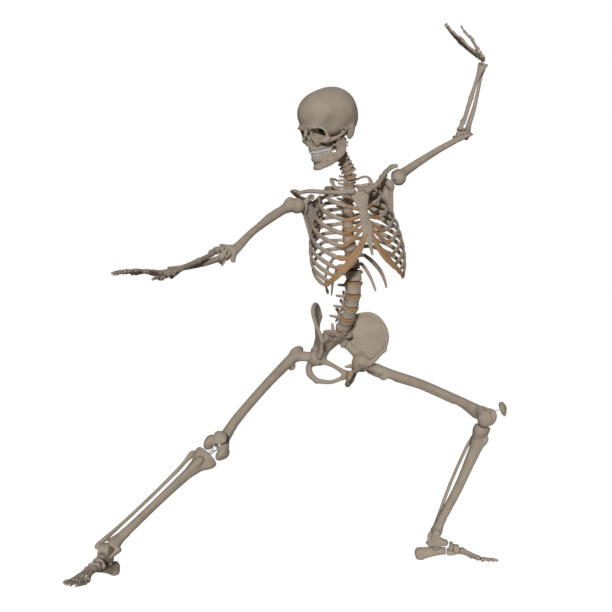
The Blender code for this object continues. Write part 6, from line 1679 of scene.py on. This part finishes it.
def face(s):
    """Brow, cheeks, nose, upper jaw and the underside of the skull."""
    s.add(lump((0, -93, 53), (40, 10, 8)), blend=10)
    s.add(lump((0, -74, 6), (26, 23, 24)), blend=8)
    s.add(lump((0, 8, 10), (30, 34, 14)), blend=10)
    s.add(limb(dental_arch(1.5, TOOTH_TOP + 3), [(5, 7)] * 11), blend=5)
    s.add(limb([(0, -97, 52), (0, -105, 37), (0, -110, 27)], [(7, 5), (6, 4.4), (7.4, 3.6)],
               steps=3), blend=4)
    for m in (1, -1):
        s.add(lump((m * 25, -98, 49.5), (19, 7.5, 6), turned(y=m * 8)), blend=8)
        s.add(limb([(m * 12, -93, 46), (m * 15, -92, 24), (m * 22, -86, 4)], [6, 6, 8]), blend=6)
        s.add(lump((m * 46, -69, 11), (13, 12, 12), turned(z=m * 28)), blend=7)
        s.add(limb([(m * 32, -91, 50), (m * 47, -82, 47), (m * 54, -73, 35), (m * 52, -69, 16)],
                   [5.4, 5.2, 4.8, 6.4], steps=3), blend=5)
        s.add(limb([(m * 24, -86, 12), (m * 44, -77, 10)], [7.6, 7.4]), blend=6)
        s.add(limb([(m * 53, -62, 8), (m * 63, -42, 12), (m * 67, -20, 19), (m * 62, 2, 26)],
                   [(2.8, 7), (2.5, 4.8), (2.7, 4.6), (4, 5)], steps=4), blend=5)
        s.add(lump((m * 54, -12, 32), (9, 12, 6)), blend=7)
        s.add(limb([(m * 52, 22, 24), (m * 51, 19, 8), (m * 49, 15, -3)], [(13, 15), (10, 12),
                                                                           (5, 6)],
                   reference=(0, 1, 0), steps=2), blend=12)
        s.add(limb([(m * 22, -42, 12), (m * 24, -38, -12)], [(3, 9), (2.2, 6)],
                   reference=(0, 1, 0)), blend=4)
        s.add(lump((m * 26, -54, -2), (9, 10, 13)), blend=5)
        s.add(limb([(m * 38, 4, 10), (m * 37, -4, -8)], [2.6, 1.4]), blend=3)


def hollows(s):
    """Eye sockets, nose, palate, brain cavity and the holes of the base."""
    s.cut(lump((0, -14, 80), (59, 76, 57)), lump((0, 12, 79), (63, 58, 55)), blend=4)
    s.cut(bore((0, 16, -24), (0, 16, 40), 15.5), blend=4)
    for m in (1, -1):
        place = moved(m * 34, -92, 32) @ turned(z=m * 18) @ turned(y=m * 8)
        s.cut(brick((-18.5, -26, -16.5), (19.5, 18, 16.5), 13.5, place), blend=4)
        s.cut(lump((m * 29, -70, 31), (13, 24, 12), turned(z=m * 22)), blend=6)
        s.cut(lump((m * 39, -62, 25), (3, 12, 4), turned(y=m * 40)), blend=3)
        s.cut(bore((m * 90, 6, 23), (m * 48, 3, 23), 3.6), blend=2)
        s.cut(limb([(m * 32, -98, 7), (m * 31, -78, 11)], [2.2, 2]), blend=1.5)
        s.cut(limb([(m * 27, -108, 51), (m * 27, -94, 46)], [1.8, 1.8]), blend=1.5)
    s.cut(limb([(0, -118, 21), (0, -76, 22)], [(6, 8)] * 2), blend=4)
    s.cut(limb([(0, -118, 8), (0, -72, 8)], [(11.5, 9)] * 2), blend=5)
    s.add(brick((-0.9, -92, -4), (0.9, -56, 26), 0.6), blend=1.5)
    s.add(limb([(0, -103, -3), (0, -94, -4)], [2.2, 2.6]), blend=2.5)
    s.cut(lump((0, -56, -24), (19, 30, 11)), blend=4)


def cranium_shape():
    """Brain case and face, hollowed, with the knobs that sit on the atlas."""
    s = Shape()
    brain_case(s)
    face(s)
    hollows(s)
    for m in (1, -1):
        s.add(bore((m * 10, 0, 0), (m * 24, 0, 0), 11.8), blend=2)
        s.cut(bore((m * 40, -12, 22), (m * 67, -12, 22), 5.6), blend=1)
    s.cut(brick((-80, -120, -80), (80, -20, TOOTH_TOP - 2.4), 1), blend=1)
    return s


def mandible_shape():
    """Lower jaw in its own frame, the hinge at the origin."""
    s = Shape()
    low = [(46, -4, -56), (43, -24, -68), (34, -44, -77), (21, -61, -82), (0, -69, -84)]
    low += [(-x, y, z) for x, y, z in reversed(low[:-1])]
    s.add(limb(low, [(4, 8), (4.6, 10), (4.8, 11), (4.8, 12), (5.4, 12.5), (4.8, 12), (4.8, 11),
                     (4.6, 10), (4, 8)], steps=3), blend=0)
    gum = [p + Vector((0, 15, -22 + TOOTH_FOOT - 8)) for p in dental_arch(2.0, 0)]
    s.add(limb(gum, [(4.8, 10)] * 11), blend=6)
    s.add(lump((0, -76, -90), (12, 6.5, 7)), blend=6)
    for m in (1, -1):
        s.add(lump((m * 11, -72, -92), (6, 6, 5)), blend=5)
        outline = [(50, 3, -8), (50, -6, -19), (49, -19, -20), (49, -30, -5), (48, -37, -16),
                   (46, -39, -34), (44, -41, -52), (43, -36, -70), (44, -24, -74), (46, -8, -69),
                   (48, 5, -58), (49, 10, -42), (50, 8, -24)]
        outline = [(m * x, y, z) for x, y, z in outline]
        s.add(blade(outline, [(m * 46.5, -14, -40)], (m, 0, 0), (0, 0, 1), 4.4, 0.9, 6), blend=8)
        s.add(limb([(m * 50.5, 2, -18), (m * 52, 0, -4)], [(4, 6), (4, 4.4)]), blend=3)
        s.add(bore((m * 44, 0, 0), (m * 60, 0, 0), 4.9), blend=2)
        s.cut(limb([(m * 33, -60, -75), (m * 26, -50, -72)], [1.7, 1.5]), blend=1.5)
    s.cut(brick((-80, -120, TOOTH_FOOT - 22 + 2.6), (80, -24.5, 60), 1), blend=1)
    return s


# tooth: width along the row, depth across it, height, from the front of the mouth back
UPPER = [(8.6, 6.8, 10.4), (6.7, 6.2, 9.6), (7.5, 7.8, 10.8), (6.8, 8.8, 9.0), (6.6, 8.8, 8.6),
         (9.8, 10.4, 8.2), (9.4, 10.4, 8.0), (8.4, 9.6, 7.6)]
LOWER = [(5.5, 6.0, 9.4), (6.0, 6.2, 9.4), (6.9, 7.4, 10.2), (6.9, 7.8, 9.0), (7.0, 8.2, 8.6),
         (10.8, 10.0, 8.2), (10.4, 9.8, 8.0), (9.6, 9.4, 7.6)]


def tooth_tree():
    """Row of crowns set on points that carry their own size and turn."""
    tree, source, sockets = growing_tree("tooth row", ("Neck Taper",))
    cube, place, bent, smooth, setter = add_nodes(
        tree, "GeometryNode", "MeshCube", "InputPosition", "SetPosition", "SubdivisionSurface",
        "InstanceOnPoints")
    split, pinch, shift, scaled = add_nodes(tree, "ShaderNode", "SeparateXYZ", "Math",
                                            "CombineXYZ", "VectorMath")
    fill(cube, {"Vertices X": 4, "Vertices Y": 4, "Vertices Z": 4, "Size": (1.06, 1.06, 1.0)})
    pinch.operation, scaled.operation = "MULTIPLY_ADD", "MULTIPLY"
    wire(place, 0, split, 0)
    wire(split, "Z", pinch, 0)
    wire(source, "Neck Taper", pinch, 1)
    fill(pinch, {2: 0.84})
    wire(pinch, 0, shift, "X")
    wire(pinch, 0, shift, "Y")
    fill(shift, {"Z": 1.0})
    wire(place, 0, scaled, 0)
    wire(shift, 0, scaled, 1)
    wire(cube, "Mesh", bent, "Geometry")
    wire(scaled, 0, bent, "Position")
    fill(smooth, {"Level": 1})
    wire(bent, 0, smooth, "Mesh")
    wire(source, "Geometry", setter, "Points")
    wire(smooth, 0, setter, "Instance")
    for label, socket in (("size", "Scale"), ("turn", "Rotation")):
        reader = tree.nodes.new("GeometryNodeInputNamedAttribute")
        reader.data_type = "FLOAT_VECTOR"
        fill(reader, {"Name": label})
        wire(reader, "Attribute", setter, socket)
    close_tree(tree, source, setter.outputs["Instances"])
    return tree, sockets


def tooth_spots(table, arch, edge, up):
    """(place, size, turn) of each crown; edge is the biting level, up is +1 for the top row."""
    centre = len(arch) // 2
    spots = []
    for m in (LEFT, RIGHT):
        line = smooth_path(arch[centre::-1] if m == LEFT else arch[centre:], 12)
        lengths = np.cumsum([0] + [(b - a).length for a, b in zip(line, line[1:])])
        room = lengths[-1] / sum(w for w, _, _ in table)
        at = 0.0
        for i, (width, deep, tall) in enumerate(table):
            middle = (at + width / 2) * room
            n = int(np.clip(np.searchsorted(lengths, middle), 1, len(line) - 1))
            along = (line[n] - line[n - 1]).normalized()
            p = line[n - 1] + along * (middle - lengths[n - 1])
            back = 0.6 if i in (0, 1) else 0.0
            p = Vector((p.x, p.y + back, edge + up * tall / 2))
            spots.append((p, (width * room, deep, tall), math.atan2(along.y, along.x)))
            at += width
    return spots


def tooth_row(name, body, place, spots, taper, tree, sockets):
    """One row of teeth as a piece, in place of the CAD node of the same name."""
    mesh = bpy.data.meshes.new("spots")
    mesh.from_pydata([p for p, _, _ in spots], [], [])
    for label, values in (("size", [s for _, s, _ in spots]),
                          ("turn", [(0, 0, t) for _, _, t in spots])):
        data = mesh.attributes.new(label, "FLOAT_VECTOR", "POINT")
        data.data.foreach_set("vector", np.array(values, np.float32).ravel())
    obj = bpy.data.objects.new("spots", mesh)
    bpy.context.scene.collection.objects.link(obj)
    crowns = grown(obj, tree, sockets, {"Neck Taper": taper, "Finish": FINISHES["enamel"]})
    crowns.transform(in_metres(place))
    mount(name, crowns, body, slot="enamel")


def make_skull():
    """Cranium, jaw and both rows of teeth."""
    hinge = moved(*JAW_HINGE)
    head = frames["head"] @ hinge @ Matrix.Scale(SKULL_SIZE, 4) @ hinge.inverted()
    jaw = frames["jaw"] @ Matrix.Scale(SKULL_SIZE, 4)
    bone_piece("cranium", "head", [cranium_shape().skin(1.48, 2)], head)
    bone_piece("mandible", "jaw", [mandible_shape().skin(1.0, 2)], jaw)
    tree, sockets = tooth_tree()
    tooth_row("upper_teeth", "head", head,
              tooth_spots(UPPER, dental_arch(1.0, 0), TOOTH_MEET + 0.3, 1), -0.5, tree, sockets)
    lower = [p + Vector((0, 14.5, -22)) for p in dental_arch(2.5, 0)]
    tooth_row("lower_teeth", "jaw", jaw,
              tooth_spots(LOWER, lower, TOOTH_MEET - 22 - 0.3, -1), 0.5, tree, sockets)


# ---------------------------------------------------------------- the whole skeleton
make_skull()
make_atlas()
make_neck()
make_thoracic_spine()
make_ribs()
make_sternum()
make_lumbar()
make_sacrum()
make_feet()
make_hands()
for side in (LEFT, RIGHT):
    make_clavicle(side)
    make_scapula(side)
    make_hip_bone(side)
    make_leg(side)
    make_arm(side)


# ---------------------------------------------------------------- studio
SENSOR, LENS = 36, 55.882353                                      # millimetres
CAMERA_FROM_HIPS, CAMERA_PITCH = (-0.10, -2.83, -0.249), 98.35    # metres, degrees
# lamp: name, strength, then its spread and turn in degrees
LAMPS = (("front lamp", 2.55, 6, (86, 0, -4)), ("back lamp", 2.0, 8, (84, 0, 176)),
         ("top lamp", 0.1, 30, (0, 0, 0)))
ROOM_LIGHT, FLOOR_LEVEL = 0.02, 0.97


def studio():
    """Camera, lamps, white room and floor."""
    scene = bpy.context.scene
    scene.view_settings.view_transform = "Standard"
    middle = (joint_place("left_hip_swing") + joint_place("right_hip_swing")) * (MM / 2)
    camera = bpy.data.objects.new("camera", bpy.data.cameras.new("camera"))
    camera.data.sensor_width = SENSOR
    camera.data.lens = LENS
    camera.location = middle + Vector(CAMERA_FROM_HIPS)
    camera.rotation_euler = (math.radians(CAMERA_PITCH), 0, 0)
    scene.collection.objects.link(camera)
    scene.camera = camera
    for name, strength, angle, turn in LAMPS:
        lamp = bpy.data.objects.new(name, bpy.data.lights.new(name, "SUN"))
        lamp.data.energy, lamp.data.angle = strength, math.radians(angle)
        lamp.rotation_euler = [math.radians(a) for a in turn]
        scene.collection.objects.link(lamp)
    white_room(scene)
    make_floor()


def seen_directly(tree):
    """Node that gives 1 where the camera, a reflection or clear glass looks at the surface."""
    path, either, total = add_nodes(tree, "ShaderNode", "LightPath", "Math", "Math")
    either.operation = total.operation = "MAXIMUM"
    wire(path, "Is Camera Ray", either, 0)
    wire(path, "Is Glossy Ray", either, 1)
    wire(either, 0, total, 0)
    wire(path, "Is Transmission Ray", total, 1)
    return total


def white_room(scene):
    """White to look at, but dim as a light."""
    scene.world = bpy.data.worlds.new("room")
    scene.world.use_nodes = True
    tree = scene.world.node_tree
    soft = tree.nodes["Background"]
    white, mix = add_nodes(tree, "ShaderNode", "Background", "MixShader")
    fill(soft, {"Color": (1, 1, 1, 1), "Strength": ROOM_LIGHT})
    fill(white, {"Color": (1, 1, 1, 1)})
    wire(seen_directly(tree), 0, mix, 0)
    wire(soft, 0, mix, 1)
    wire(white, 0, mix, 2)
    wire(mix, 0, tree.nodes["World Output"], "Surface")


def make_floor():
    """White floor that keeps a soft shadow."""
    bm = bmesh.new()
    bmesh.ops.create_grid(bm, x_segments=1, y_segments=1, size=14)
    mesh = bpy.data.meshes.new("floor")
    bm.to_mesh(mesh)
    bm.free()
    floor = bpy.data.objects.new("floor", mesh)
    floor.location.z = -0.0005
    bpy.context.scene.collection.objects.link(floor)
    mat, tree, shader = material_of("floor")
    fill(shader, {"Base Color": (0.8, 0.8, 0.8, 1), "Roughness": 0.9, "Specular IOR Level": 0.0})
    glow, both, level = add_nodes(tree, "ShaderNode", "Emission", "AddShader", "Math")
    level.operation = "MULTIPLY"
    fill(level, {1: FLOOR_LEVEL})
    wire(seen_directly(tree), 0, level, 0)
    wire(level, 0, glow, "Strength")
    wire(shader, 0, both, 0)
    wire(glow, 0, both, 1)
    wire(both, 0, tree.nodes["Material Output"], "Surface")
    mesh.materials.append(mat)


studio()
